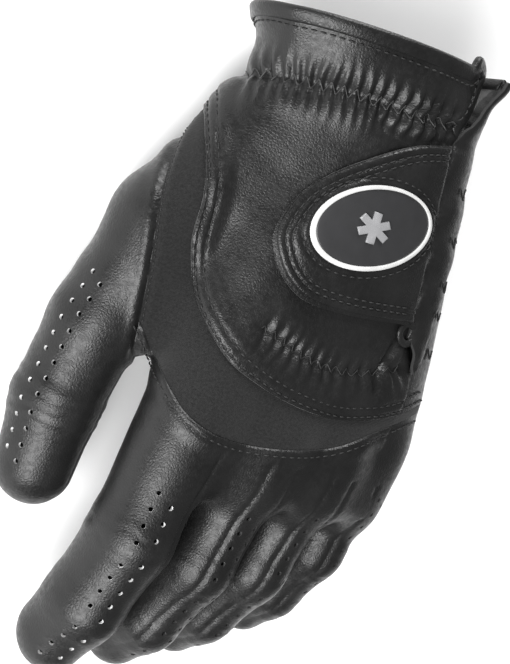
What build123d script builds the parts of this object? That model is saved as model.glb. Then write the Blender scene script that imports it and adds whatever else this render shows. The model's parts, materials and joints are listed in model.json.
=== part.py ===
from build123d import *
import math
import os

# Left-hand golf glove in its worn shape, without a hand, resting palm down.
# All sizes are in mm. The glove is drawn in the hand frame: +X little-finger side, +Y cuff end,
# +Z back of the hand. At the end it is tilted and moved onto the floor.

os.makedirs("parts", exist_ok=True)

# ---- driving dimensions ----
WALL = 1.0              # leather thickness
MOVE_GAP = 0.3          # clear space on each side of a hinge plane
WEB_Y = -18.5           # where the fingers leave the palm
HAND_FRONT_Y = -16.5    # front end of the hand's shell
CUFF_Y = 112.5          # mean height of the cuff edge along the hand
CUFF_RISE = 0.1         # how much the cuff edge climbs per mm towards the little finger
FLOOR_TILT = -7.7       # turn about X that puts the glove on its fingertips and cuff edge
PATTERN_TILT = 40       # the back's pattern pieces are laid out on a plane turned to the thumb side

# hand sections: y, centre x, centre z, half width, half depth
HAND_SECTIONS = [
    (-26, -1, -4, 45, 14.5),
    (-10, -1, -1.5, 46, 16.5),
    (16, 0, 0, 46, 18),
    (48, 0, 0, 42, 20),
    (78, -3, 0, 37, 22.5),
    (97, -8, 0, 35, 24.5),
    (124, -11, 0, 38, 28),
]

# finger: knuckle point, phalanx lengths, splay, bends, half widths and half depths at the
# web, first knuckle, second knuckle and fingertip
FINGERS = {
    "index": (
        (-35.5, 4, 0), (43, 24, 14), 6, (8, 14, 14),
        (12.2, 12.0, 11.4, 10.8), (13.6, 13.4, 12.4, 11.2),
    ),
    "middle": (
        (-11, -1, 4), (45, 25, 14), 5, (15, 19, 18),
        (11.4, 11.2, 11.0, 10.4), (13.0, 12.8, 12.0, 11.0),
    ),
    "ring": (
        (12, -1, 3), (42, 24, 13), 5, (18, 22, 16),
        (11.2, 11.0, 10.8, 10.2), (12.6, 12.2, 11.5, 10.6),
    ),
    "little": (
        (34.5, 3, -2), (36, 20, 12), 3, (18, 20, 12),
        (10.4, 10.4, 10.0, 9.4), (12.0, 11.6, 10.8, 9.8),
    ),
}
# sides of each finger that carry a fourchette: -1 thumb side, +1 little-finger side
FOURCHETTE_SIDES = {"index": (1,), "middle": (-1, 1), "ring": (-1, 1), "little": (-1,)}
FOURCHETTE_HALF = 5.5   # half depth of the side strips
FOURCHETTE_END = 0.6    # how far a side strip runs into the fingertip, as a part of its half depth
DOME_STEPS = (0.3, 0.55, 0.75, 0.9)   # where the rounded fingertip is sectioned, as parts of its length
DOME_END = 0.98         # the fingertip's last section, almost a point

# thumb: points along its centre line with radii; it is free beyond the point called the knuckle
THUMB_MOUND = [
    ((-24, 92, -4), 14),
    ((-41, 68, -12), 16),
    ((-51, 48, -18), 16),
    ((-58.6, 17.5, -27.1), 14.2),
]
THUMB_KNUCKLE = Vector(-59, 16, -27.5)
THUMB_JOINT = Vector(-61, -8, -33)
THUMB_TIP = Vector(-59, -28, -36)
THUMB_RADII = (14.2, 13.8, 12.0)
THUMB_NAIL = Vector(-0.75, 0, 0.65)   # roughly the way the thumbnail faces
THUMB_CLEARANCE = 1.2   # the mound stops this far short of the thumb's hinge plane
THUMB_CLEAR_SPARE = 3.8  # the disc that trims the mound there is this much wider than the thumb
THUMB_CLEAR_LENGTH = 20
WEB = ((-54, 46, -18), 12, (-46, 27, -16), 9)   # skin between thumb and index: two balls joined

# joint ranges in degrees: extension, flexion
FINGER_BASE_RANGE = (-10, 15)
FINGER_BEND_RANGE = (-10, 25)
THUMB_BASE_RANGE = (-10, 8)
THUMB_BEND_RANGE = (-10, 15)
TAB_RANGE = (0, 120)
WEDGE_SPARE = 1.0       # degrees of spare opening in the wedge cut at a hinge

# perforations along the finger backs
HOLE_RADIUS = 0.8
HOLE_PITCH = 5.0
HOLE_ROW_OFFSET = 3.0

# elastics sewn to the inside of the leather, as outlines in plan
ELASTIC = 0.8
WRIST_BAND = [(-46, 91), (12, 95), (12, 101), (-46, 97)]
WRIST_BAND_FLOOR = 8    # the wrist elastic ends this far above the back's other pieces
KNUCKLE_LINE = [(-30, 28), (-18, 24), (-1, 22), (12, 23), (30, 29)]
KNUCKLE_BAND = 5
ULNAR_BAND = [(25, 80), (30, 80), (36, 34), (31, 34)]

# bound edges
BINDING_DEPTH = 3.6
BINDING_ROLL = 0.7
LOOP_RADIUS = 3.6
LOOP_WIDTH = 2.0

# closure tab: outline in plan, straight edge on the little-finger side
TAB_BASE = ((15, 92), (22, 41))
TAB_CURVE = [
    (-1, 88.5), (-13, 82), (-23, 74.5), (-29, 66), (-32, 55),
    (-29, 47), (-23, 41.5), (-14, 39), (0, 38.5),
]
PATCH_LIFT = 0.8        # thickness of each fastener patch
LINING = 0.6
LOOP_OUTLINE = [(-21, 49), (-23, 58), (-20, 68), (-8, 76), (10, 80), (13, 50), (6, 46), (-12, 45)]
HOOK_OUTLINE = [(-19, 50), (-21, 58), (-18, 67), (-7, 74), (8, 78), (11, 51), (5, 47), (-11, 46)]
BADGE_CENTRE = (-7, 63)
BADGE_HALF = (20, 11.8)
BADGE_TURN = 23
BADGE_RISE = 0.6
RING_WIDTH = 2.2
EMBLEM_BAR = (9, 2.2)   # one bar of the three that cross in the emblem

# pattern outlines of the back, as (across, along) on the tilted pattern plane
WELT = [
    (-47.5, 80), (-42.7, 68), (-40.5, 58), (-40, 44), (-34.5, 30), (-23.5, 18),
    (-14.5, 13), (0, 9), (14, 8.5), (28, 13), (36, 18),
]
THUMB_SEAM = [(-52, 74), (-52.4, 64), (-51.5, 52), (-49.5, 38), (-48.5, 28), (-47.5, 17)]
STRETCH_EDGE = [(-46, 17), (-36, 6), (-26, -2), (-11, -5), (11, -1), (26, 8), (36, 14)]
SLIT_LINE = [(20, 126), (16, 99), (15, 92), (22, 38)]
SLIT_HALF = 1.0
BACK_FLOOR = -4         # the back's pattern pieces end this far below the side line
THUMB_SIDE_X = -38      # beyond this, on the thumb side, the back reaches further down
THUMB_SIDE_FLOOR = -16

# cutting tools
REACH = 200             # larger than the glove in every direction
OUTER_OVERRUN = 6       # how far an outer limb solid runs past a hinge before it is trimmed
INNER_OVERRUN = 14      # the same for the solid that hollows it out
MOUND_OVERRUN = 2       # how far the mound's hollow runs past its end, so that the end is open
HINGE_HALF = 30         # half depth of a hinge's wedge, more than a limb's half depth
STRIP_OVERLAP = 1.5     # how far the blocks that pick out side strips overlap at a knuckle
PALM_OVERLAP = 3        # the same for the blocks that pick out the palm half

# ---- helpers ----


def ellipse_at(point, normal, across, half_width, half_depth):
    plane = Plane(origin=point, x_dir=across, z_dir=normal)
    return plane * Ellipse(half_width, half_depth)


def tube_through(points, radii):
    """Smooth round limb through points, with its sections square to the centre line."""
    sections = []
    for i, point in enumerate(points):
        before = points[max(i - 1, 0)]
        after = points[min(i + 1, len(points) - 1)]
        direction = (after - before).normalized()
        sections.append(Plane(origin=point, z_dir=direction) * Circle(radii[i]))
    return loft(sections)


def hand_loft(grow):
    across = (1, 0, 0)
    along = (0, 1, 0)
    sections = [
        ellipse_at((cx, y, cz), along, across, half_width + grow, half_depth + grow)
        for y, cx, cz, half_width, half_depth in HAND_SECTIONS
    ]
    return loft(sections)


def ball_pair(grow):
    """Two balls and the cone between them: the skin between thumb and index."""
    start, start_radius, end, end_radius = WEB
    start = Vector(start)
    end = Vector(end)
    direction = (end - start).normalized()
    cone = loft([
        Plane(origin=start, z_dir=direction) * Circle(start_radius + grow),
        Plane(origin=end, z_dir=direction) * Circle(end_radius + grow),
    ])
    return cone + Pos(start) * Sphere(start_radius + grow) + Pos(end) * Sphere(end_radius + grow)


def thumb_mound(grow):
    points = [Vector(point) for point, radius in THUMB_MOUND]
    radii = [radius + grow for point, radius in THUMB_MOUND]
    if grow < 0:
        direction = (points[-1] - points[-2]).normalized()
        points.append(points[-1] + direction * MOUND_OVERRUN)
        radii.append(radii[-1])
    return tube_through(points, radii)


def hand_solid(grow):
    return hand_loft(grow) + thumb_mound(grow) + ball_pair(grow)


def plan_prism(points, closed_curve=None):
    """Upright prism over an outline in plan; the curve, if given, closes the outline smoothly."""
    if closed_curve:
        outline = Wire([Line(points[-1], points[0]), Spline([points[0], *closed_curve, points[-1]])])
        face = make_face(outline.edges())
    else:
        face = make_face(Polyline(*points, close=True).edges())
    return extrude(face, REACH)


def pattern_plane():
    angle = math.radians(PATTERN_TILT)
    return Plane(
        origin=(0, 0, 0),
        x_dir=(math.cos(angle), 0, math.sin(angle)),
        z_dir=(-math.sin(angle), 0, math.cos(angle)),
    )


def pattern_prism(*curves):
    """Prism square to the pattern plane; its outline is made of curves joined by straight lines."""
    edges = []
    for i, curve in enumerate(curves):
        following = curves[(i + 1) % len(curves)]
        if len(curve) > 2:
            edges.append(Spline(curve))
        else:
            edges.append(Line(curve[0], curve[1]))
        if math.dist(curve[-1], following[0]) > 1e-6:
            edges.append(Line(curve[-1], following[0]))
    face = make_face(edges)
    return extrude(pattern_plane() * face, REACH, both=True)


def largest(shape):
    """The largest solid of a shape, so that no sliver is left behind."""
    return max(shape.solids(), key=lambda solid: solid.volume)


def above(floor):
    """Everything above a height in the hand frame."""
    return Pos(0, 0, REACH / 2 + floor) * Box(2 * REACH, 2 * REACH, REACH)


# ---- hand shell and its pattern pieces ----
cuff_angle = math.degrees(math.atan(CUFF_RISE))
cuff_plane_centre = (-10, CUFF_Y, 0)


def below_cuff(offset):
    """Everything on the finger side of the cuff edge, moved along the hand by offset."""
    block = Pos(0, -REACH / 2 + offset, 0) * Box(2 * REACH, REACH, REACH)
    return Pos(cuff_plane_centre) * Rot(0, 0, cuff_angle) * block


ahead_of_front = Pos(0, HAND_FRONT_Y + REACH, 0) * Box(2 * REACH, 2 * REACH, REACH)
hand_outer = hand_solid(0)
shell = (hand_outer - hand_solid(-WALL)) & below_cuff(0) & ahead_of_front
thumb_way = (Vector(THUMB_MOUND[-1][0]) - Vector(THUMB_MOUND[-2][0])).normalized()
thumb_across = THUMB_NAIL.cross((THUMB_TIP - THUMB_KNUCKLE).normalized()).normalized()
thumb_root_normal = (thumb_way - thumb_across * thumb_way.dot(thumb_across)).normalized()
clear_start = THUMB_KNUCKLE - thumb_root_normal * THUMB_CLEARANCE
clear_disc = Circle(THUMB_RADII[0] + THUMB_CLEAR_SPARE)
shell = shell - Plane(origin=clear_start, z_dir=thumb_root_normal) * extrude(clear_disc, THUMB_CLEAR_LENGTH)

upper_side = above(BACK_FLOOR)
thumb_side = above(THUMB_SIDE_FLOOR) & Pos(THUMB_SIDE_X - REACH / 2, 0, 0) * Box(REACH, 2 * REACH, 3 * REACH)
near_side = upper_side + thumb_side

# outlines that end off the glove, so that only their curved edges cut it
welt_prism = pattern_prism(WELT, [(70, 18), (70, 126)], [(70, 126), (-47.5, 126)])
stretch_prism = pattern_prism([(-50, 82), THUMB_SEAM[0]], THUMB_SEAM, STRETCH_EDGE, WELT[::-1])
thumb_prism = pattern_prism(THUMB_SEAM, [(-47.5, 12), (-110, 12)], [(-110, 12), (-110, 74)])
yoke_prism = pattern_prism(
    STRETCH_EDGE, [(60, 14), (60, -40)], [(60, -40), (-60, -40)], [(-60, -40), (-60, 17)]
)

slit_left = [(x - SLIT_HALF, y) for x, y in SLIT_LINE]
slit_right = [(x + SLIT_HALF, y) for x, y in SLIT_LINE]
slit_prism = plan_prism(slit_left + slit_right[::-1])
ulnar_prism = plan_prism(SLIT_LINE + [(40, 12), (80, 12), (80, 126)])

thumb_mount = largest(shell & thumb_prism)
shell_rest = shell - thumb_mount
back_region = shell_rest & near_side
finger_yoke = largest(back_region & yoke_prism - thumb_prism)
stretch_panel = largest(back_region & stretch_prism - thumb_prism)
ulnar_panel = largest((back_region & welt_prism & ulnar_prism & upper_side) - slit_prism)
back_panel = largest((back_region & welt_prism) - ulnar_prism - slit_prism)
palm_panel = largest(shell_rest - finger_yoke - stretch_panel - ulnar_panel - back_panel - slit_prism)

# ---- hand trims: elastics inside, bound cuff, bound slit end, fastener patch ----
elastic_layer = hand_loft(-WALL) - hand_loft(-WALL - ELASTIC)
wrist_elastic = largest(elastic_layer & plan_prism(WRIST_BAND) & above(BACK_FLOOR + WRIST_BAND_FLOOR))
knuckle_band = plan_prism(KNUCKLE_LINE + [(x, y - KNUCKLE_BAND) for x, y in KNUCKLE_LINE[::-1]])
knuckle_elastic = largest(elastic_layer & knuckle_band & upper_side)
ulnar_elastic = largest(elastic_layer & plan_prism(ULNAR_BAND) & upper_side)

cuff_roll = (hand_loft(BINDING_ROLL) - hand_loft(-WALL - BINDING_ROLL)) & below_cuff(BINDING_ROLL)
cuff_binding = cuff_roll - below_cuff(-BINDING_DEPTH) - shell
cuff_binding = largest(cuff_binding - slit_prism)

slit_end = Pos(*SLIT_LINE[-1], 0)
loop_ring = slit_end * extrude(Circle(LOOP_RADIUS) - Circle(LOOP_RADIUS - LOOP_WIDTH), REACH)
patch_layer = hand_loft(PATCH_LIFT) - hand_loft(0)
slit_binding = largest((patch_layer & loop_ring) - slit_prism)
loop_patch = largest(patch_layer & plan_prism(LOOP_OUTLINE))

# ---- closure tab: fastener patch, lining, leather and badge, stacked outwards ----
hook_base = PATCH_LIFT + MOVE_GAP
lining_base = hook_base + PATCH_LIFT
leather_base = lining_base + LINING
leather_top = leather_base + WALL
field_top = leather_top + BADGE_RISE
emblem_top = field_top + BADGE_RISE
tab_prism = plan_prism(list(TAB_BASE), TAB_CURVE)


def tab_layer(low, high, prism):
    return largest((hand_loft(high) - hand_loft(low)) & prism)


def badge_prism(half_width, half_height):
    return Pos(*BADGE_CENTRE, 0) * Rot(0, 0, BADGE_TURN) * extrude(Ellipse(half_width, half_height), REACH)


hook_patch = tab_layer(hook_base, lining_base, plan_prism(HOOK_OUTLINE))
tab_lining = tab_layer(lining_base, leather_base, tab_prism)
tab_leather = tab_layer(leather_base, leather_top, tab_prism)
field_prism = badge_prism(BADGE_HALF[0] - RING_WIDTH, BADGE_HALF[1] - RING_WIDTH)
badge_base = tab_layer(leather_top, field_top, field_prism)
ring_prism = badge_prism(*BADGE_HALF) - field_prism
badge_ring = tab_layer(leather_top, field_top, ring_prism)
emblem_sketch = Rectangle(*EMBLEM_BAR)
for turn in (60, 120):
    emblem_sketch += Rot(0, 0, turn) * Rectangle(*EMBLEM_BAR)
emblem_prism = Pos(*BADGE_CENTRE, 0) * Rot(0, 0, BADGE_TURN) * extrude(emblem_sketch, REACH)
badge_emblem = tab_layer(field_top, emblem_top, emblem_prism)

# ---- fingers ----


class Limb:
    """Centre line and frames of one finger or of the free thumb."""

    def __init__(self, name, points, across, half_widths, half_depths, root_normal, ranges):
        self.name = name
        self.points = points
        self.across = across.normalized()
        self.widths = half_widths
        self.depths = half_depths
        self.directions = [
            (points[i + 1] - points[i]).normalized() for i in range(len(points) - 1)
        ]
        self.root_normal = root_normal.normalized()
        self.ranges = ranges

    def normal(self, i):
        """Way the section plane faces at point i."""
        if i == 0:
            return self.directions[0]
        if i >= len(self.directions):
            return self.directions[-1]
        return (self.directions[i - 1] + self.directions[i]).normalized()

    def back(self, i):
        """Way the back of phalanx i faces."""
        return self.directions[i].cross(self.across)

    def section(self, i, grow):
        width = self.widths[i] + grow
        depth = self.depths[i] + grow
        return ellipse_at(self.points[i], self.normal(i), self.across, width, depth)


def make_finger(name):
    knuckle, lengths, splay, bends, half_widths, half_depths = FINGERS[name]
    splay = math.radians(splay)
    forward = Vector(-math.sin(splay), -math.cos(splay), 0)
    down = Vector(0, 0, -1)
    across = Vector(math.cos(splay), -math.sin(splay), 0)
    points = [Vector(knuckle)]
    total = 0
    for length, bend in zip(lengths, bends):
        total += math.radians(bend)
        points.append(points[-1] + (forward * math.cos(total) + down * math.sin(total)) * length)
    first = (points[1] - points[0]).normalized()
    points[0] = points[0] + first * ((WEB_Y - points[0].Y) / first.Y)
    ranges = (FINGER_BASE_RANGE, FINGER_BEND_RANGE)
    return Limb(name, points, across, half_widths, half_depths, forward, ranges)


def make_thumb():
    points = [THUMB_KNUCKLE, THUMB_JOINT, THUMB_TIP]
    ranges = (THUMB_BASE_RANGE, THUMB_BEND_RANGE)
    return Limb("thumb", points, thumb_across, THUMB_RADII, THUMB_RADII, thumb_root_normal, ranges)


def tip_sections(limb, grow):
    """Sections from the fingertip's centre to the end of its rounded dome."""
    direction = limb.directions[-1]
    last = len(limb.points) - 1
    width = limb.widths[last] + grow
    depth = limb.depths[last] + grow
    sections = []
    for step in (*DOME_STEPS, DOME_END):
        shrink = math.sqrt(1 - step * step)
        point = limb.points[last] + direction * (step * depth)
        sections.append(ellipse_at(point, direction, limb.across, width * shrink, depth * shrink))
    return sections


def limb_piece(limb, first, last, grow, with_tip):
    """Solid from point first to point last that runs past its open ends, to be trimmed later."""
    sections = [limb.section(i, grow) for i in range(first, last + 1)]
    if with_tip:
        sections += tip_sections(limb, grow)
    solid = loft(sections, ruled=True)
    overrun = INNER_OVERRUN if grow < 0 else OUTER_OVERRUN
    solid = solid + extrude(sections[0], overrun, dir=-limb.normal(first))
    if not with_tip:
        solid = solid + extrude(sections[-1], overrun, dir=limb.normal(last))
    return solid


def hinge_wedge(point, normal, across, joint_range):
    """Space beyond a hinge: a prism with a bow-tie end that opens by the joint's range."""
    back_angle = math.radians(-joint_range[0] + WEDGE_SPARE)
    palm_angle = math.radians(joint_range[1] + WEDGE_SPARE)
    outline = Polyline(
        (MOVE_GAP, 0),
        (MOVE_GAP + HINGE_HALF * math.tan(back_angle), HINGE_HALF),
        (REACH, HINGE_HALF),
        (REACH, -HINGE_HALF),
        (MOVE_GAP + HINGE_HALF * math.tan(palm_angle), -HINGE_HALF),
        close=True,
    )
    sketch_plane = Plane(origin=point, x_dir=normal, z_dir=-across)
    return extrude(sketch_plane * make_face(outline.edges()), 2 * HINGE_HALF, both=True)


def before_plane(point, normal):
    """Everything on the near side of a hinge plane, less the moving gap."""
    plane = Plane(origin=point - normal * MOVE_GAP, z_dir=normal)
    return plane * (Pos(0, 0, -REACH / 2) * Box(REACH, REACH, REACH))


def along_phalanges(limb, first, last, section, start_reach, joint_reach, end_reach):
    """Blocks along the phalanges from first to last, all with one (width, depth, side, back) section.
    They reach past the first point, past the points between them and past the fingertip's centre."""
    width, depth, side, back = section
    block = None
    for i in range(first, last):
        start = limb.points[i]
        length = (limb.points[i + 1] - start).length
        reach_on = end_reach if i == len(limb.directions) - 1 else joint_reach
        reach_back = start_reach if i == first else joint_reach
        plane = Plane(origin=start, x_dir=limb.across, z_dir=limb.directions[i])
        up = back if plane.y_dir.dot(limb.back(i)) > 0 else -back
        middle = Pos(side, up, (length + reach_on - reach_back) / 2)
        box = plane * (middle * Box(width, depth, length + reach_on + reach_back))
        block = box if block is None else block + box
    return block


def side_strip(limb, first, last, side):
    """Block that picks out the strip on one side of the finger."""
    section = (HINGE_HALF, 2 * FOURCHETTE_HALF, side * HINGE_HALF / 2, 0)
    end_reach = limb.depths[-1] * FOURCHETTE_END
    return along_phalanges(limb, first, last, section, OUTER_OVERRUN, STRIP_OVERLAP, end_reach)


def palm_half(limb, first, last):
    """Block that picks out the palm half of the finger."""
    section = (2 * HINGE_HALF, HINGE_HALF, 0, -HINGE_HALF / 2)
    return along_phalanges(limb, first, last, section, INNER_OVERRUN, PALM_OVERLAP, HINGE_HALF)


def perforate(shape, limb, first, last):
    """Two rows of ventilation holes along the back of the phalanges."""
    drills = []
    for i in range(first, last):
        length = (limb.points[i + 1] - limb.points[i]).length
        count = int((length - HOLE_PITCH) / HOLE_PITCH)
        for k in range(count):
            along = HOLE_PITCH * (k + 1)
            for row in (-1, 1):
                point = limb.points[i] + limb.directions[i] * along + limb.across * (row * HOLE_ROW_OFFSET)
                plane = Plane(origin=point, z_dir=limb.back(i))
                drills.append(plane * (Pos(0, 0, 10) * Cylinder(HOLE_RADIUS, 20)))
    return shape - drills


def finger_parts(limb, sides):
    """Both moving segments of a finger, each split into its pattern pieces."""
    made = {}
    joint = limb.points[1]
    joint_normal = limb.normal(1)
    spans = {"proximal": (0, 1, False), "distal": (1, len(limb.points) - 1, True)}
    for segment, (first, last, with_tip) in spans.items():
        tube = limb_piece(limb, first, last, 0, with_tip) - limb_piece(limb, first, last, -WALL, with_tip)
        if segment == "proximal":
            tube = tube & hinge_wedge(limb.points[0], limb.root_normal, limb.across, limb.ranges[0])
            tube = tube & before_plane(joint, joint_normal)
        else:
            tube = tube & hinge_wedge(joint, joint_normal, limb.across, limb.ranges[1])
        tube = largest(tube)
        for side in sides:
            strip = side_strip(limb, first, last, side)
            side_name = "thumb_side" if side < 0 else "little_side"
            made[f"{limb.name}_{segment}_fourchette_{side_name}"] = largest(tube & strip)
            tube = tube - strip
        if len(sides) == 1:
            made[f"{limb.name}_{segment}_sleeve"] = perforate(largest(tube), limb, first, last)
        else:
            palm_block = palm_half(limb, first, last)
            made[f"{limb.name}_{segment}_palm"] = largest(tube & palm_block)
            made[f"{limb.name}_{segment}_back"] = perforate(largest(tube - palm_block), limb, first, last)
    return made


limbs = {name: make_finger(name) for name in FINGERS}
limbs["thumb"] = make_thumb()
limb_parts = {name: finger_parts(limbs[name], FOURCHETTE_SIDES.get(name, ())) for name in limbs}

# ---- joints: name, point and axis in the hand frame, range ----


def surface_height(x, y, lift):
    """Height of the hand's outer surface, raised by lift, above a point in plan."""
    sections = HAND_SECTIONS
    for low, high in zip(sections, sections[1:]):
        if low[0] <= y <= high[0]:
            t = (y - low[0]) / (high[0] - low[0])
            cx, cz, a, b = (low[i] + (high[i] - low[i]) * t for i in (1, 2, 3, 4))
            return cz + (b + lift) * math.sqrt(1 - ((x - cx) / (a + lift)) ** 2)


tab_start = Vector(*TAB_BASE[0], surface_height(*TAB_BASE[0], leather_top))
tab_end = Vector(*TAB_BASE[1], surface_height(*TAB_BASE[1], leather_top))
joints = {"tab_hinge": ((tab_start + tab_end) / 2, (tab_start - tab_end).normalized(), TAB_RANGE)}
for name, limb in limbs.items():
    joints[f"{name}_base"] = (limb.points[0], limb.across, limb.ranges[0])
    joints[f"{name}_bend"] = (limb.points[1], limb.across, limb.ranges[1])

# ---- all nodes by body ----
bodies = {
    "hand": {
        "palm_panel": palm_panel,
        "back_panel": back_panel,
        "stretch_panel": stretch_panel,
        "finger_yoke": finger_yoke,
        "thumb_mount": thumb_mount,
        "ulnar_panel": ulnar_panel,
        "wrist_elastic": wrist_elastic,
        "knuckle_elastic": knuckle_elastic,
        "ulnar_elastic": ulnar_elastic,
        "cuff_binding": cuff_binding,
        "slit_binding": slit_binding,
        "loop_patch": loop_patch,
    },
    "tab": {
        "hook_patch": hook_patch,
        "tab_lining": tab_lining,
        "tab_leather": tab_leather,
        "badge_base": badge_base,
        "badge_ring": badge_ring,
        "badge_emblem": badge_emblem,
    },
}
for name, parts_of_limb in limb_parts.items():
    for segment in ("proximal", "distal"):
        bodies[f"{name}_{segment}"] = {
            node: shape for node, shape in parts_of_limb.items() if f"_{segment}_" in node
        }

# ---- placing on the floor: origin at the bottom centre of the whole glove ----
tilt = Rot(FLOOR_TILT, 0, 0)
everything = Compound([shape for nodes in bodies.values() for shape in nodes.values()])
low = (tilt * everything).bounding_box()
drop = Pos(-(low.min.X + low.max.X) / 2, -(low.min.Y + low.max.Y) / 2, -low.min.Z)
placement = drop * tilt

for nodes in bodies.values():
    for node, shape in nodes.items():
        export_step(placement * shape, f"parts/{node}.step")
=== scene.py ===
import bmesh
import bpy
import json
import math
import numpy as np
from mathutils import Matrix, Vector


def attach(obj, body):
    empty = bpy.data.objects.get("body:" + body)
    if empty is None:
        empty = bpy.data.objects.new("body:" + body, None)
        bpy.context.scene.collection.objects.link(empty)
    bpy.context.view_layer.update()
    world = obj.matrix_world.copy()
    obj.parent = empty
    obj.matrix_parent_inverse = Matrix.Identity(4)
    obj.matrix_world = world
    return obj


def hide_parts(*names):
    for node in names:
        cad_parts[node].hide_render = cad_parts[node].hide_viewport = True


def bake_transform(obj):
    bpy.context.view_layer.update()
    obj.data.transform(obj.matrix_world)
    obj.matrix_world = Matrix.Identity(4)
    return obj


# Left-hand golf glove. The leather is one smooth implicit hand surface, cut along its seams into
# pattern pieces. Shapes are worked out in mm in the hand frame (+X little finger, +Y cuff, +Z back)
# and then placed in the row frame, in metres.

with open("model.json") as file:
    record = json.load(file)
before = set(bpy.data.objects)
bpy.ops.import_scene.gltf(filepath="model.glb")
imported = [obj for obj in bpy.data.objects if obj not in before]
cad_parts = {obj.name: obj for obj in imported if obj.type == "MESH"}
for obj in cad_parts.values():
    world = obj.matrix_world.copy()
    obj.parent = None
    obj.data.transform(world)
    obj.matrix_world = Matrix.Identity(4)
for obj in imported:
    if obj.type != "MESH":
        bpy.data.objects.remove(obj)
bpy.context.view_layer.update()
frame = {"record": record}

GRID = 1.0       # spacing of the surface net, mm
THICK = 0.9                             # leather thickness, mm
VIEW_TILT = math.radians(40)            # the pattern plane leans this far to the thumb side
ACROSS = np.array([math.cos(VIEW_TILT), 0, math.sin(VIEW_TILT)])
OUTWARD = np.array([-math.sin(VIEW_TILT), 0, math.cos(VIEW_TILT)])
FLOOR_TILT = math.radians(-7.7)
CUFF_Y = 114.6                          # where the cuff edge lies
CUFF_RISE = 0.012                       # its slope towards the little finger
WEB_Y = -18.5                           # where the fingers' root hinges lie
BONE_BLEND = 3.0                        # rounding between the cones of a finger
GRADIENT_STEP = 0.25
LINE_STEP = 0.6                         # spacing of the points on a pattern line

# ------------------------------------------------------------------ hand surface
# y, centre x, centre z, half width, half depth
SECTIONS = np.array([
    (-30, -2, -4, 44, 14.5),
    (-17, -2, -2, 45, 16),
    (16, 0, 0, 46, 18),
    (48, 0.5, 0, 42.5, 20),
    (78, -0.8, 0, 37, 22.5),
    (97, -5.2, 0, 34.3, 24.5),
    (117, -10.3, 0, 40.5, 27.5),
    (126, -10.8, 0, 41.5, 28.5),
], float)

FINGERS = {
    "index": ((-35.5, 4, 0), (43, 24, 14), 6, (8, 14, 14), (14.0, 13.6, 12.8, 11.6)),
    "middle": ((-11, -1, 4), (42.5, 23.5, 12.5), 4, (15, 19, 18), (13.0, 12.8, 12.0, 11.0)),
    "ring": ((12, -1, 3), (41, 22.5, 12), 3.5, (18, 22, 16), (12.8, 12.2, 11.5, 10.6)),
    "little": ((33.7, 3, -2), (36, 20, 12), 0.5, (18, 20, 12), (12.0, 11.6, 10.8, 9.8)),
}
FINGER_SLIM = {"index": 0.88, "middle": 0.84, "ring": 0.84, "little": 0.86}
THUMB_POINTS = np.array([
    (-30, 88, -6), (-49, 50, -17), (-56, 16, -27.5), (-58, -8, -33), (-57, -27.8, -36)], float)
THUMB_RADII = (15, 15.2, 13.8, 13.2, 11.5)
THUMB_KNUCKLE = 2
WEB_BALLS = (np.array((-51, 46, -18.0)), np.array((-44, 24.5, -16.0)), 12, 9.5)


def unit(v):
    return v / np.linalg.norm(v)


def monotone_curve(x, y):
    """Piecewise cubic through (x, y) with centred slopes, as a function of x."""
    slope = np.zeros_like(y)
    step = (y[1:] - y[:-1]) / (x[1:] - x[:-1])[:, None]
    slope[1:-1] = (step[1:] + step[:-1]) / 2
    slope[0], slope[-1] = step[0], step[-1]

    def value(q):
        q = np.clip(q, x[0], x[-1])
        i = np.clip(np.searchsorted(x, q) - 1, 0, len(x) - 2)
        h = x[i + 1] - x[i]
        t = (q - x[i]) / h
        t, h = t[..., None], h[..., None]
        a = (1 + 2 * t) * (1 - t) ** 2
        b = t * (1 - t) ** 2
        c = t * t * (3 - 2 * t)
        d = t * t * (t - 1)
        return a * y[i] + b * h * slope[i] + c * y[i + 1] + d * h * slope[i + 1]

    return value


section_at = monotone_curve(SECTIONS[:, 0], SECTIONS[:, 1:])


def smooth_min(a, b, k):
    h = np.clip(0.5 + 0.5 * (b - a) / k, 0, 1)
    return b * (1 - h) + a * h - k * h * (1 - h)


def body_field(p):
    """Distance-like field of the palm and wrist."""
    s = section_at(p[:, 1])
    x, z = p[:, 0] - s[:, 0], p[:, 2] - s[:, 1]
    a, b = s[:, 2], s[:, 3]
    q = np.sqrt((x / a) ** 2 + (z / b) ** 2) + 1e-9
    g = np.sqrt((x / a ** 2) ** 2 + (z / b ** 2) ** 2) + 1e-9
    return -smooth_min(-q * (q - 1) / g, 22 + p[:, 1], 8)


def cone_field(p, a, b, ra, rb):
    ab = b - a
    t = np.clip((p - a) @ ab / (ab @ ab), 0, 1)
    return np.linalg.norm(p - a - t[:, None] * ab, axis=1) - (ra + (rb - ra) * t)


def chain_field(p, points, radii):
    d = None
    for i in range(len(points) - 1):
        c = cone_field(p, points[i], points[i + 1], radii[i], radii[i + 1])
        d = c if d is None else smooth_min(d, c, BONE_BLEND)
    return d


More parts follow.
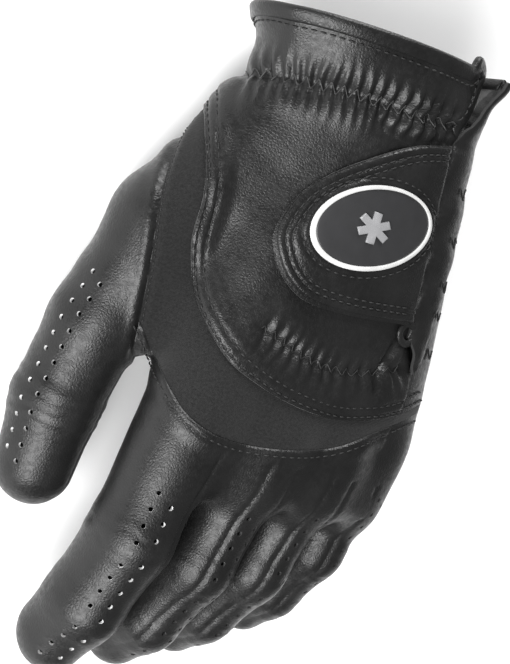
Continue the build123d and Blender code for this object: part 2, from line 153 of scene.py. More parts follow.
class Limb:
    """Centre line, radii and local axes of a finger or the thumb."""

    def __init__(self, name, points, radii, across, slim, first):
        self.name = name
        self.points = points
        self.radii = radii
        self.across = unit(across)
        self.slim = slim
        self.first = first      # index of the joint where the free part starts
        self.dirs = [unit(points[i + 1] - points[i]) for i in range(len(points) - 1)]

    def field(self, p):
        side = (p - self.points[0]) @ self.across
        p = p + (side * (1 / self.slim - 1))[:, None] * self.across
        return chain_field(p, self.points, self.radii) * (0.5 + 0.5 * self.slim)

    def local(self, p):
        """Distance along the centre line, sideways and dorsal offsets, measured on the nearest phalanx."""
        best = np.full(len(p), 1e9)
        out = np.zeros((len(p), 3))
        run = 0.0
        for i, d in enumerate(self.dirs):
            length = np.linalg.norm(self.points[i + 1] - self.points[i])
            rel = p - self.points[i]
            t = rel @ d
            tc = np.clip(t, 0 if i else -1e9, length if i < len(self.dirs) - 1 else 1e9)
            gap = np.linalg.norm(rel - np.clip(t, 0, length)[:, None] * d, axis=1)
            back = unit(np.cross(d, self.across))
            value = np.stack([run + tc, rel @ self.across, rel @ back], 1)
            pick = gap < best - 1e-9
            best[pick] = gap[pick]
            out[pick] = value[pick]
            run += length
        return out

    def along_joint(self, i):
        return sum(np.linalg.norm(self.points[k + 1] - self.points[k]) for k in range(i))


def make_finger(name):
    knuckle, lengths, splay, bends, radii = FINGERS[name]
    splay = math.radians(splay)
    forward = np.array([-math.sin(splay), -math.cos(splay), 0])
    points = [np.array(knuckle, float)]
    total = 0
    for length, bend in zip(lengths, bends):
        total += math.radians(bend)
        way = forward * math.cos(total) + np.array([0, 0, -1]) * math.sin(total)
        points.append(points[-1] + way * length)
    across = np.array([math.cos(splay), -math.sin(splay), 0])
    return Limb(name, np.array(points), radii, across, FINGER_SLIM[name], 0)


limbs = {name: make_finger(name) for name in FINGERS}
thumb_nail = np.array([-0.75, 0, 0.65])
thumb_line = unit(THUMB_POINTS[4] - THUMB_POINTS[2])
thumb_across = np.cross(thumb_nail, thumb_line)
limbs["thumb"] = Limb("thumb", THUMB_POINTS, THUMB_RADII, thumb_across, 1.0, THUMB_KNUCKLE)
FINGER_NAMES = list(FINGERS)


def hand_field(p):
    body = body_field(p)
    d = None
    for name in FINGER_NAMES:
        c = smooth_min(body, limbs[name].field(p), 7)
        d = c if d is None else np.minimum(d, c)
    web = cone_field(p, *WEB_BALLS)
    thumb = smooth_min(limbs["thumb"].field(p), web, 8)
    return smooth_min(d, thumb, 10)


def gradient(f, p):
    g = np.zeros_like(p)
    for i in range(3):
        step = np.zeros(3)
        step[i] = GRADIENT_STEP
        g[:, i] = (f(p + step) - f(p - step)) / (2 * GRADIENT_STEP)
    return g


def normal_of(p):
    g = gradient(hand_field, p)
    return g / (np.linalg.norm(g, axis=1, keepdims=True) + 1e-12)


def settle(p, rounds=3):
    """Moves points onto the hand surface."""
    for _ in range(rounds):
        g = gradient(hand_field, p)
        f = hand_field(p)
        p = p - g * (f / ((g * g).sum(1) + 1e-9))[:, None]
    return p


def surface_net():
    lo = np.array((-84, -104, -66.0))
    hi = np.array((54, 124, 35.0))
    n = np.ceil((hi - lo) / GRID).astype(int) + 1
    axes = [lo[i] + GRID * np.arange(n[i]) for i in range(3)]
    values = np.empty(n, np.float32)
    plane = np.stack(np.meshgrid(axes[1], axes[2], indexing="ij"), -1).reshape(-1, 2)
    for i, x in enumerate(axes[0]):
        p = np.column_stack([np.full(len(plane), x), plane])
        values[i] = hand_field(p).reshape(n[1], n[2])
    inside = values < 0
    corners = [(a, b, c) for a in (0, 1) for b in (0, 1) for c in (0, 1)]

    def corner(grid, k):
        a, b, c = corners[k]
        return grid[a:n[0] - 1 + a, b:n[1] - 1 + b, c:n[2] - 1 + c]

    count = sum(corner(inside, k).astype(np.int8) for k in range(8))
    active = (count > 0) & (count < 8)
    cells = np.argwhere(active)
    index = np.full(active.shape, -1)
    index[active] = np.arange(len(cells))
    total = np.zeros((len(cells), 3))
    hits = np.zeros(len(cells))
    for a in range(8):
        for b in range(a + 1, 8):
            if sum(abs(np.subtract(corners[a], corners[b]))) != 1:
                continue
            fa, fb = corner(values, a)[active], corner(values, b)[active]
            cross = (fa < 0) != (fb < 0)
            t = np.where(cross, fa / np.where(cross, fa - fb, 1), 0)
            at = np.array(corners[a]) + t[:, None] * np.subtract(corners[b], corners[a])
            total += at * cross[:, None]
            hits += cross
    verts = lo + GRID * (cells + total / hits[:, None])
    quads = []
    for axis in range(3):
        u, v = (axis + 1) % 3, (axis + 2) % 3
        low = [slice(1, -1)] * 3
        low[axis] = slice(0, n[axis] - 1)
        high = list(low)
        high[axis] = slice(1, n[axis])
        a, b = inside[tuple(low)], inside[tuple(high)]
        where = np.argwhere(a != b)
        flip = a[a != b]
        base = where.copy()
        base[:, u] += 1
        base[:, v] += 1
        ring = []
        for du, dv in ((-1, -1), (0, -1), (0, 0), (-1, 0)):
            c = base.copy()
            c[:, u] += du
            c[:, v] += dv
            ring.append(index[c[:, 0], c[:, 1], c[:, 2]])
        ring = np.stack(ring, 1)
        ring[~flip] = ring[~flip][:, ::-1]
        quads.append(ring)
    quads = np.concatenate(quads)
    quads = quads[(quads >= 0).all(1)]
    tris = np.concatenate([quads[:, [0, 1, 2]], quads[:, [0, 2, 3]]])
    verts = settle(verts)
    for _ in range(2):
        verts = settle(relax(verts, tris), 2)
    return verts, tris


def face_cross(points, faces):
    """Face normals, each as long as twice its face's area."""
    a, b, c = (points[faces[:, k]] for k in range(3))
    return np.cross(b - a, c - a)


def relax(verts, tris):
    total = np.zeros_like(verts)
    count = np.zeros(len(verts))
    for a, b in ((0, 1), (1, 2), (2, 0)):
        np.add.at(total, tris[:, a], verts[tris[:, b]])
        np.add.at(total, tris[:, b], verts[tris[:, a]])
        np.add.at(count, tris[:, a], 1)
        np.add.at(count, tris[:, b], 1)
    return 0.5 * verts + 0.5 * total / np.maximum(count, 1)[:, None]


# ------------------------------------------------------------------ mesh cutting
def split_edges(verts, tris, flag_edge, where):
    """Splits every flagged edge at the given share of its length, keeping the mesh whole."""
    edges = np.sort(np.concatenate([tris[:, [0, 1]], tris[:, [1, 2]], tris[:, [2, 0]]]), axis=1)
    keys, inverse = np.unique(edges, axis=0, return_inverse=True)
    inverse = inverse.reshape(3, -1).T
    flags, share = flag_edge(keys), where(keys)
    new_index = np.full(len(keys), -1)
    new_index[flags] = len(verts) + np.arange(flags.sum())
    a, b = verts[keys[flags, 0]], verts[keys[flags, 1]]
    verts = np.concatenate([verts, a + (b - a) * share[flags][:, None]])
    mids = new_index[inverse]
    count = (mids >= 0).sum(1)
    out = [tris[count == 0]]
    for turn in range(3):
        roll = [turn, (1 + turn) % 3, (2 + turn) % 3]
        t, m = tris[:, roll], mids[:, roll]
        one = (count == 1) & (m[:, 0] >= 0)
        out.append(np.stack([t[one, 0], m[one, 0], t[one, 2]], 1))
        out.append(np.stack([m[one, 0], t[one, 1], t[one, 2]], 1))
        two = (count == 2) & (m[:, 2] < 0)
        out.append(np.stack([m[two, 0], t[two, 1], m[two, 1]], 1))
        out.append(np.stack([t[two, 0], m[two, 0], m[two, 1]], 1))
        out.append(np.stack([t[two, 0], m[two, 1], t[two, 2]], 1))
    three = count == 3
    t, m = tris[three], mids[three]
    out += [np.stack([t[:, 0], m[:, 0], m[:, 2]], 1), np.stack([m[:, 0], t[:, 1], m[:, 1]], 1),
            np.stack([m[:, 2], m[:, 1], t[:, 2]], 1), m]
    return verts, np.concatenate(out)


def cut(verts, tris, field, level=0.0):
    """Inserts vertices so that no triangle crosses field = level."""
    f = field(verts) - level
    small = 0.04
    f = np.where(np.abs(f) < small, 0, f)

    def flag(keys):
        return f[keys[:, 0]] * f[keys[:, 1]] < 0

    def share(keys):
        a, b = f[keys[:, 0]], f[keys[:, 1]]
        return np.where(a != b, a / np.where(a != b, a - b, 1), 0.5)

    return split_edges(verts, tris, flag, share)


def refine(verts, tris, near, longest):
    """Halves the edges longer than longest inside the region near(points)."""
    inside = near(verts)

    def flag(keys):
        long = np.linalg.norm(verts[keys[:, 0]] - verts[keys[:, 1]], axis=1) > longest
        return long & (inside[keys[:, 0]] | inside[keys[:, 1]])

    return split_edges(verts, tris, flag, lambda keys: np.full(len(keys), 0.5))


# ------------------------------------------------------------------ flat pattern curves
def smooth_line(points):
    """Dense Catmull-Rom curve through the points."""
    p = np.array(points, float)
    ext = np.vstack([2 * p[0] - p[1], p, 2 * p[-1] - p[-2]])
    out = []
    for i in range(1, len(ext) - 2):
        a, b, c, d = ext[i - 1:i + 3]
        n = max(2, int(np.linalg.norm(c - b) / LINE_STEP))
        t = np.linspace(0, 1, n, endpoint=False)[:, None]
        out.append(0.5 * (2 * b + (c - a) * t + (2 * a - 5 * b + 4 * c - d) * t ** 2
                          + (3 * b - 3 * c + d - a) * t ** 3))
    out.append(ext[-2][None])
    return np.concatenate(out)


def even_line(points, step):
    """The same line resampled at an even spacing."""
    seg = np.linalg.norm(np.diff(points, axis=0), axis=1)
    run = np.concatenate([[0], np.cumsum(seg)])
    n = max(2, int(round(run[-1] / step)) + 1)
    at = np.linspace(0, run[-1], n)
    return np.stack([np.interp(at, run, points[:, i]) for i in range(points.shape[1])], 1)


def flat(p):
    """Pattern-plane coordinates of points in the hand frame."""
    return np.stack([p @ ACROSS, p[:, 1]], 1)


def distance_to_line(q, line, closed=False):
    """Distance to a flat polyline, the side (+1 on its left) and the run along it."""
    a = line if closed else line[:-1]
    b = np.roll(line, -1, axis=0) if closed else line[1:]
    ab = b - a
    length = np.linalg.norm(ab, axis=1)
    start = np.concatenate([[0], np.cumsum(length)[:-1]])
    nearest = np.empty(len(q), int)
    square = (a * a).sum(1)
    for first in range(0, len(q), 20000):
        part = q[first:first + 20000]
        nearest[first:first + 20000] = (square - 2 * part @ a.T).argmin(1)
    best = np.full(len(q), 1e9)
    side = np.zeros(len(q))
    run = np.zeros(len(q))
    for step in (0, -1):
        i = (nearest + step) % len(a) if closed else np.clip(nearest + step, 0, len(a) - 1)
        rel = q - a[i]
        t = np.clip((rel * ab[i]).sum(1) / (length[i] ** 2 + 1e-12), 0, 1)
        off = rel - t[:, None] * ab[i]
        d = np.hypot(off[:, 0], off[:, 1])
        pick = d < best
        best[pick] = d[pick]
        side[pick] = np.sign(ab[i, 0] * rel[:, 1] - ab[i, 1] * rel[:, 0])[pick]
        run[pick] = (start[i] + t * length[i])[pick]
    return best, side, run


def inside_outline(q, outline):
    a, b = outline, np.roll(outline, -1, axis=0)
    hit = np.zeros(len(q), bool)
    for (x0, y0), (x1, y1) in zip(a, b):
        crosses = (y0 > q[:, 1]) != (y1 > q[:, 1])
        if y1 != y0:
            hit ^= crosses & (q[:, 0] < (x1 - x0) * (q[:, 1] - y0) / (y1 - y0) + x0)
    return hit


def outline_field(q, outline):
    """Signed distance, positive inside the outline."""
    d, _, _ = distance_to_line(q, outline, closed=True)
    return np.where(inside_outline(q, outline), d, -d)


# seams on the pattern plane: (across, along) in mm
WELT = smooth_line([(-48.5, 92), (-46.5, 80), (-42.7, 68), (-40.5, 58), (-40, 44), (-34.5, 30), (-23.5, 18),
                    (-14.5, 13), (0, 9), (14, 8.5), (28, 13), (40, 21)])
THUMB_SEAM = smooth_line([(-50, 82), (-52, 74), (-52.4, 64), (-51.5, 52), (-49.5, 38), (-48.5, 28),
                          (-47.5, 10)])
YOKE_SEAM = smooth_line([(-50, 22), (-45, 16), (-36, 6), (-26, -2), (-11, -5), (11, -1), (26, 8), (42, 20)])
SLIT = even_line(np.array([(27.5, 126), (23.5, 99), (22.7, 92), (26, 41), (26.1, 36.5)], float), 0.8)
ULNAR_EDGE = smooth_line([(26.1, 36.5), (30, 28), (36, 17)])
KEYHOLE = np.array((25.2, 37.5))
TAB_LINE = smooth_line([(21.2, 92), (11.5, 88.5), (1.7, 82), (-8.4, 74), (-15, 66), (-18.4, 55), (-15.5, 47),
                        (-10.4, 41.5), (-3.7, 38.8), (8.2, 38.8), (25, 41)])
TAB_OUTLINE = np.vstack([TAB_LINE, even_line(np.array([TAB_LINE[-1], TAB_LINE[0]]), 1.0)[1:-1]])
WRIST_LINE = smooth_line([(-41, 95), (-32, 95.7), (-20, 96.3), (-8, 96.6), (3, 96.7), (13, 96.8),
                          (21.5, 97.5)])
KNUCKLE_LINE = smooth_line([(-15, 27.5), (-9, 26), (-3, 23.5), (4, 22), (11, 22), (18, 23.5), (27, 27.5)])


def near_side(normal):
    return normal @ OUTWARD > 0


# ------------------------------------------------------------------ hand mesh cut along its seams
def slit_field(p):
    d, side, _ = distance_to_line(flat(p), SLIT)
    return d * side


def signed_distance(q, line):
    """Distance to a flat line, positive on its left."""
    d, side, _ = distance_to_line(q, line)
    return d * np.where(side == 0, 1, side)


def signed_line(line):
    return lambda p: signed_distance(flat(p), line)


def cuff_field(p):
    return p[:, 1] - CUFF_Y - CUFF_RISE * (p[:, 0] + 10)


PALM_THUMB_SEAM = smooth_line([(-44, 96), (-34, 80), (-27, 60), (-30, 40), (-42, 22), (-60, 10)])


def palm_thumb_field(p):
    return signed_distance(p[:, :2], PALM_THUMB_SEAM)


verts, tris = surface_net()
keep = cuff_field(verts) < 3
tris = tris[keep[tris].all(1)]

thumb = limbs["thumb"]
thumb_way = unit(THUMB_POINTS[2] - THUMB_POINTS[1])


def thumb_plane(p):
    """Distance past the thumb's hinge plane."""
    return (p - THUMB_POINTS[THUMB_KNUCKLE]) @ thumb_way


def hinge_point(name):
    """Where the limb's root hinge crosses its centre line."""
    limb = limbs[name]
    if name == "thumb":
        return THUMB_POINTS[THUMB_KNUCKLE]
    return limb.points[0] + limb.dirs[0] * ((WEB_Y - limb.points[0][1]) / limb.dirs[0][1])


def free_length(name):
    """From the root hinge to the middle hinge."""
    limb = limbs[name]
    return np.linalg.norm(limb.points[limb.first + 1] - hinge_point(name))


def finger_plane(name):
    """Distance past the hidden split where a finger leaves the hand."""
    return lambda p: (p - hinge_point(name)) @ limbs[name].dirs[0] - 1.2


def finger_split(name):
    """Distance past the hidden split in the middle of a finger's first segment."""
    limb = limbs[name]

    def field(p):
        if name == "thumb":
            mid = (THUMB_POINTS[2] + THUMB_POINTS[3]) / 2
            return (p - mid) @ limb.dirs[2]
        return (p - hinge_point(name)) @ limb.dirs[0] - 0.7 * free_length(name)
    return field


def whose(p):
    """Index of the limb that each point belongs to, -1 for the hand."""
    d = np.stack([limbs[n].field(p) for n in FINGER_NAMES], 1)
    owner = d.argmin(1)
    for k, name in enumerate(FINGER_NAMES):
        owner[(owner == k) & (finger_plane(name)(p) < 0)] = -1
    t = limbs["thumb"].field(p)
    is_thumb = (thumb_plane(p) > -3) & (t < 3) & (t < body_field(p))
    owner[is_thumb] = 4
    return owner


def masked(field, mask):
    """Field that only counts where mask(points) holds, so that its cut stays local."""
    return lambda p: np.where(mask(p), field(p), 1e3)


SIDE_LIMBS = FINGER_NAMES + ["thumb"]
# where each limb's back panel ends to the two sides of its centre line; None where it goes on round
BACK_EDGES = {
    "index": (None, 6.0),
    "middle": (-4.5, 6.5),
    "ring": (-3.5, 6.5),
    "little": (-2.5, None),
    "thumb": (None, None),
}


def seam_fields(name):
    """Positive on the back piece: bounds of the finger's back panel by sideways offset."""
    limb = limbs[name]
    low, high = BACK_EDGES[name]

    def widen(along):
        joint = limb.along_joint(1)
        return 1 + 0.25 * np.clip((along - joint) / 25, -0.4, 1)

    def low_field(p):
        q = limb.local(p)
        return q[:, 1] - low * widen(q[:, 0])

    def high_field(p):
        q = limb.local(p)
        return high * widen(q[:, 0]) - q[:, 1]

    return (low_field if low is not None else None), (high_field if high is not None else None)


def palm_seam(name):
    """Positive above the seam between a finger's side strip and its palm side."""
    limb = limbs[name]

    def field(p):
        q = limb.local(p)
        return q[:, 2] + (0.0 if name == "thumb" else 5.0)
    return field


def near_limb(k, reach=2.0):
    """Mask of the points on limb k or on the web beside it."""
    def mask(p):
        close = limbs[SIDE_LIMBS[k]].field(p) < reach
        if k == 4:
            return close & (thumb_plane(p) > -30)
        return close & (p[:, 1] < -11)
    return mask


THUMB_SPLIT = -3.0      # the thumb's own pieces start this far before its hinge plane
WEB_TOP = -15.0         # the webs between the fingers reach up to here

HOLE_RADIUS = 0.72
HOLE_PITCH = 5.0
# perforation rows: first hole along the centre line, how many, sideways offsets of the two rows
HOLES = {
    "index": (27.5, 12, (-6.6, -2.0)),
    "middle": (22.0, 11, (-1.2, 3.6)),
    "ring": (17.0, 11, (0.3, 5.0)),
    "little": (11.0, 8, (2.0, 6.0)),
    "thumb": (66.0, 12, (-6.6, -2.4)),
}


def limb_points(limb, along, side):
    """Points on the skin over a limb's back, at distances along its centre line and sideways from it."""
    centre, back = [], []
    for distance in along:
        left = distance
        for i, d in enumerate(limb.dirs):
            length = np.linalg.norm(limb.points[i + 1] - limb.points[i])
            if left <= length or i == len(limb.dirs) - 1:
                break
            left -= length
        centre.append(limb.points[i] + d * left)
        back.append(unit(np.cross(d, limb.across)))
    back = np.array(back)
    return drop_on_skin(np.array(centre) + np.outer(side, limb.across) + back * 30, -back)


def drop_on_skin(p, way):
    """Moves points along way until they meet the hand surface."""
    for _ in range(34):
        p = p + way * np.clip(hand_field(p) * 0.85, -6, 6)[:, None]
    return p


hole_points = []
for name, (first, count, rows) in HOLES.items():
    for k0, side in zip((0.0, 0.5), rows):
        along = first + HOLE_PITCH * (np.arange(count) + k0)
        hole_points.append(limb_points(limbs[name], along, np.full(count, side)))
# the index's and the thumb's perforations get pale walls: painted light, standing in for the light seen through
# these holes
holes_painted_lit = np.concatenate(hole_points[:2] + hole_points[-2:])
hole_points = np.concatenate(hole_points)


def hole_field(p):
    """Distance to the nearest perforation's wall."""
    best = np.full(len(p), 99.0)
    for c in hole_points:
        close = np.abs(p - c).max(1) < 3.5
        best[close] = np.minimum(best[close], np.linalg.norm(p[close] - c, axis=1))
    return best - HOLE_RADIUS


SLIT_CORNER = np.array((22.4, 114.6))     # centre of the back leather's rounded corner at the cuff
CORNER_RADIUS = 4.0


def corner_field(p):
    """Positive outside the rounded corner of the back leather."""
    away = flat(p) - SLIT_CORNER
    beyond = (away > 0).all(1) & (p[:, 2] > -4)
    return np.where(beyond, np.hypot(away[:, 0], away[:, 1]) - CORNER_RADIUS, away.max(1) - CORNER_RADIUS)


cuts = [
    (cuff_field, 0),
    (masked(corner_field, lambda p: (p[:, 1] > 110) & (p[:, 2] > -4) & (flat(p)[:, 0] > 17)), 0),
    (signed_line(WELT), 0), (signed_line(WELT), 0.5), (signed_line(WELT), 1.1),
    (signed_line(THUMB_SEAM), 0), (signed_line(YOKE_SEAM), 0), (signed_line(YOKE_SEAM), -0.5),
    (signed_line(YOKE_SEAM), -1.1),
    (masked(slit_field, lambda p: (p[:, 1] > 36) & (p[:, 2] > 0)), 0),
    (masked(signed_line(ULNAR_EDGE), lambda p: (p[:, 1] < 39) & (p[:, 1] > 10) & (p[:, 2] > -6)), 0),
    (lambda p: p[:, 2] + 4, 0),
    (masked(palm_thumb_field, lambda p: p[:, 2] < 0), 0),
    (lambda p: p[:, 1] - WEB_TOP, 0),
    (masked(thumb_plane, near_limb(4, 3.0)), THUMB_SPLIT),
]
for number, name in enumerate(SIDE_LIMBS):
    mask = near_limb(number)
    cuts.append((masked(finger_split(name), mask), 0))
    if name != "thumb":
        cuts.append((masked(finger_plane(name), mask), 0))
    for field in seam_fields(name):
        if field is not None:
            cuts.append((masked(field, mask), 0))
    cuts.append((masked(palm_seam(name), mask), 0))


for field, level in cuts:
    verts, tris = cut(verts, tris, field, level)
verts = settle(verts, 2)
near_hole = lambda p: hole_field(p) < 1.6
for longest in (0.9, 0.6, 0.45)[0:]:
    verts, tris = refine(verts, tris, near_hole, longest)
    verts = settle(verts, 1)
verts, tris = cut(verts, tris, hole_field)
tris = tris[hole_field(verts[tris].mean(1)) > 0]
tris = tris[cuff_field(verts[tris].mean(1)) < 0]
tris = tris[np.linalg.norm(face_cross(verts, tris), axis=1) > 1e-7]
print("hand mesh", len(verts), len(tris))

# ------------------------------------------------------------------ which piece owns each triangle
centre = verts[tris].mean(1)
face_normal = normal_of(centre)
near = near_side(face_normal)
q = flat(centre)
side_of = {key: signed_line(line)(centre) for key, line in (
    ("welt", WELT), ("thumb", THUMB_SEAM), ("yoke", YOKE_SEAM), ("ulnar", ULNAR_EDGE), ("slit", SLIT))}
owner = whose(centre)
hand = owner < 0
upper = centre[:, 2] > -4
low_x = centre[:, 0] < -20
names = np.full(len(tris), "palm_leather", dtype=object)
thumb_reach = hand & (centre[:, 1] < 82) & (centre[:, 1] > 8) & low_x
is_thumb = thumb_reach & near & (side_of["thumb"] < 0) & (q[:, 0] < -44)
is_thumb |= thumb_reach & ~near & (palm_thumb_field(centre) < 0) & (centre[:, 2] < 0)
above_welt = side_of["welt"] > 0
below_yoke = side_of["yoke"] < 0
back = hand & (near | (upper & (centre[:, 0] > 0))) & ~is_thumb
right_of_slit = np.where(centre[:, 1] > 36.5, side_of["slit"] > 0, side_of["ulnar"] > 0)
names[back & above_welt] = "back_leather"
off_corner = back & ~right_of_slit & (centre[:, 1] > 108) & (q[:, 0] > SLIT_CORNER[0])
off_corner &= corner_field(centre) > 0
names[back & ~above_welt & ~below_yoke] = "stretch_knit"
names[back & below_yoke & (centre[:, 1] < 30)] = "yoke_leather"
names[back & upper & above_welt & right_of_slit & (centre[:, 0] > 5)] = "ulnar_leather"
names[is_thumb] = "thumb_mound_leather"
for number, name in enumerate(SIDE_LIMBS):
    mine = owner == number
    limb = limbs[name]
    local = limb.local(centre)
    segment = np.where(finger_split(name)(centre) < 0, "proximal", "distal")
    low, high = seam_fields(name)
    above = local[:, 2] > -5.0 if name != "thumb" else local[:, 2] > 0
    kind = np.full(len(tris), "sleeve" if name in ("index", "little") else "back", dtype=object)
    if name not in ("index", "little"):
        kind[~above] = "palm"
    if low is not None:
        kind[(low(centre) < 0) & above] = "fourchette_thumb_side"
    if high is not None:
        kind[(high(centre) < 0) & above] = "fourchette_little_side"
    for label in np.unique(kind[mine]):
        for part in ("proximal", "distal"):
            names[mine & (kind == label) & (segment == part)] = f"{name}_{part}_{label}"
for left, right in zip(FINGER_NAMES, FINGER_NAMES[1:]):
    between = hand & (centre[:, 1] < WEB_TOP)
    between &= seam_fields(left)[1](centre) < 0
    between &= seam_fields(right)[0](centre) < 0
    between &= (limbs[left].local(centre)[:, 2] > -5) & (limbs[right].local(centre)[:, 2] > -5)
    names[between] = "web_leather"
names[off_corner] = "cut_away"
tris, names = tris[names != "cut_away"], names[names != "cut_away"]
centre = verts[tris].mean(1)
near = near_side(normal_of(centre))
labels = sorted(set(names))
print({label: int((names == label).sum()) for label in labels})

# ------------------------------------------------------------------ relief of the worn leather
random = np.random.default_rng(11)
WAVES = [(unit(random.normal(size=3)), random.uniform(0.75, 1.35), random.uniform(0, 6.28)) for _ in range(9)]


def ripple(p, scale):
    """Smooth random hills about as wide as scale, between about -1 and 1."""
    total = 0
    for direction, stretch, phase in WAVES:
        total = total + np.sin(p @ direction * (2 * math.pi / (scale * stretch)) + phase)
    return total / 3.5


def hill(x, width):
    return np.exp(-(x / width) ** 2)


def ramp(x, start, end):
    t = np.clip((x - start) / (end - start), 0, 1)
    return t * t * (3 - 2 * t)


def near_line(p, line, reach):
    """Distance, side and run for the points near a pattern line on the back; 99 elsewhere."""
    q = flat(p)
    low, high = line.min(0) - reach, line.max(0) + reach
    s = section_at(p[:, 1])
    rise = (p[:, 0] - s[:, 0]) * OUTWARD[0] + (p[:, 2] - s[:, 1]) * OUTWARD[2]
    pick = ((q > low) & (q < high)).all(1) & (rise > -6)
    d = np.full(len(p), 99.0)
    side = np.ones(len(p))
    run = np.zeros(len(p))
    if pick.any():
        d[pick], side[pick], run[pick] = distance_to_line(q[pick], line)
    return d, side, run


KEY_FOLD = smooth_line([(23.5, 35), (21.8, 30), (21.2, 25), (21.6, 19)])
WRIST_FOLD = smooth_line([(2, 91.5), (9, 90), (16, 91), (22, 93)])
CUFF_FOLDS = [smooth_line(points) for points in (
    [(-30, 115), (-29, 107), (-31, 99)],
    [(14, 120), (13, 110), (11, 101)],
    [(21, 118), (22, 109), (20, 102)],
)]
GATHER_PITCH = 3.3      # distance between the gathers along an elastic


def relief(p):
    """Height of folds, gathers and creases over the hand surface, mm."""
    calm = 1 - 0.65 * ramp(-p[:, 1], 0, 20)
    h = (0.22 * ripple(p, 26) + 0.10 * ripple(p + 40, 11)) * calm
    d, _, run = near_line(p, WRIST_LINE, 16)
    strength = 0.6 + 0.5 * ramp(run, 20, 60)
    wobble = 1.1 * ripple(p, 15)
    puck = np.cos(run * 2 * math.pi / GATHER_PITCH + wobble)
    h += -1.2 * hill(d, 1.8) + 0.9 * hill(d - 6.5, 4.0) * strength
    h += 0.95 * strength * puck * hill(d - 1.8, 4.6)
    d, side, run = near_line(p, KNUCKLE_LINE, 14)
    below = side > 0
    puck = np.cos(run * 2 * math.pi / GATHER_PITCH + 1.3 * ripple(p, 13))
    h += -0.8 * hill(d, 1.7) + 0.5 * puck * hill(d - 1.2, np.where(below, 3.4, 4.6))
    h += 0.45 * hill(d - 5, 3)
    d, _, run = near_line(p, KEY_FOLD, 8)
    fade = ramp(run, 0, 3) * (1 - 0.6 * ramp(run, 10, 17))
    h += fade * (-1.5 * hill(d, 1.0) + 0.8 * hill(d - 2.6, 1.7))
    d, _, _ = near_line(p, WRIST_FOLD, 8)
    h += -1.2 * hill(d, 2.0)
    for fold in CUFF_FOLDS:
        d, _, _ = near_line(p, fold, 12)
        h += 1.0 * hill(d, 4.5)
    d, _, run = near_line(p, THUMB_SEAM, 5)
    h += -1.0 * hill(d, 1.0) + 0.35 * hill(d - 2.2, 1.4) + 0.08 * hill(d - 1.5, 1.2) * np.cos(run * 2.4)
    d, _, _ = near_line(p, ULNAR_EDGE, 4)
    h += -0.5 * hill(d, 0.9)
    for name in FINGER_NAMES:
        limb = limbs[name]
        close = (limb.field(p) < 4) & (p[:, 1] < -8)
        if not close.any():
            continue
        local = limb.local(p[close])
        extra = np.zeros(close.sum())
        low, high = seam_fields(name)
        for field in (low, high):
            if field is not None:
                extra += -0.5 * hill(field(p[close]), 0.9) * (local[:, 2] > -7)
        for joint in (1, 2):
            away = local[:, 0] - limb.along_joint(joint)
            extra += -0.25 * hill(away, 1.8) * (local[:, 2] < -2)
            crease = np.cos(away * 2 * math.pi / 4.2 + ripple(p[close], 9) * 1.5)
            extra += 0.06 * crease * hill(away, 6.5) * ramp(local[:, 2], -2, 6)
        h[close] += extra
    close = limbs["thumb"].field(p) < 3
    if close.any():
        local = thumb.local(p[close])
        h[close] += -0.5 * hill(local[:, 2], 0.9) * ramp(local[:, 0], 70, 78)
        away = local[:, 0] - thumb.along_joint(3)
        h[close] += 0.14 * np.cos(away * 2 * math.pi / 4.5 + ripple(p[close], 10)) * hill(away, 7)
    return h


def rolled(d, width=0.7, floor=0.35):
    """Rise of a folded leather edge at a distance from its edge."""
    return floor + (1 - floor) * np.sqrt(np.clip(1 - np.clip(1 - d / width, 0, 1) ** 2, 0, 1))


# distances of the stitch rows from their edges
WELT_ROWS = (1.1, 3.7)
YOKE_ROWS = (1.9,)
CUFF_ROW = 4.8


def lift_back(p):
    d, _, _ = near_line(p, WELT, 12)
    h = 1.25 * rolled(d) * (1 - 0.85 * ramp(d, 4.2, 9)) + 0.2 * hill(d - 2.4, 0.7)
    for row_at in WELT_ROWS:
        h -= 0.38 * hill(d - row_at, 0.5)
    return np.where(d < 50, h, 0.16)


def lift_yoke(p):
    d, _, _ = near_line(p, YOKE_SEAM, 10)
    h = 0.75 * rolled(d) * (1 - ramp(d, 2.6, 7))
    for row_at in YOKE_ROWS:
        h -= 0.25 * hill(d - row_at, 0.45)
    return np.where(d < 50, h, 0.0)


def lift_ulnar(p):
    d, _, _ = near_line(p, SLIT, 14)
    h = np.where(d < 50, 1.4 * rolled(d, 1.6) + 1.3 * hill(d - 4.2, 3.6), 0.0)
    h *= 1 - 0.8 * ramp(-p[:, 2], -6, 4)
    gather = np.cos(p[:, 1] * 2 * math.pi / 12.5) * ramp(p[:, 1], 36, 42)
    return h + 0.45 * gather * hill(d - 3, 4)


def no_lift(p):
    return np.zeros(len(p))


LIFTS = {"back_leather": lift_back, "yoke_leather": lift_yoke, "ulnar_leather": lift_ulnar}

# ------------------------------------------------------------------ placing in the row frame
turn = np.array(Matrix.Rotation(FLOOR_TILT, 3, "X"))
joints = {j["name"]: j for j in frame["record"]["behaviour"]["joints"]}
shift = np.array(joints["index_base"]["pos_m"]) * 1000 - turn @ hinge_point("index")


PRESS_BELOW = 0.002      # leather lower than this over the floor is pressed flatter, m
PRESS_SHARE = 0.57


def row(p):
    """Hand-frame points in mm as row-frame points in metres."""
    return (np.atleast_2d(p) @ turn.T + shift) / 1000


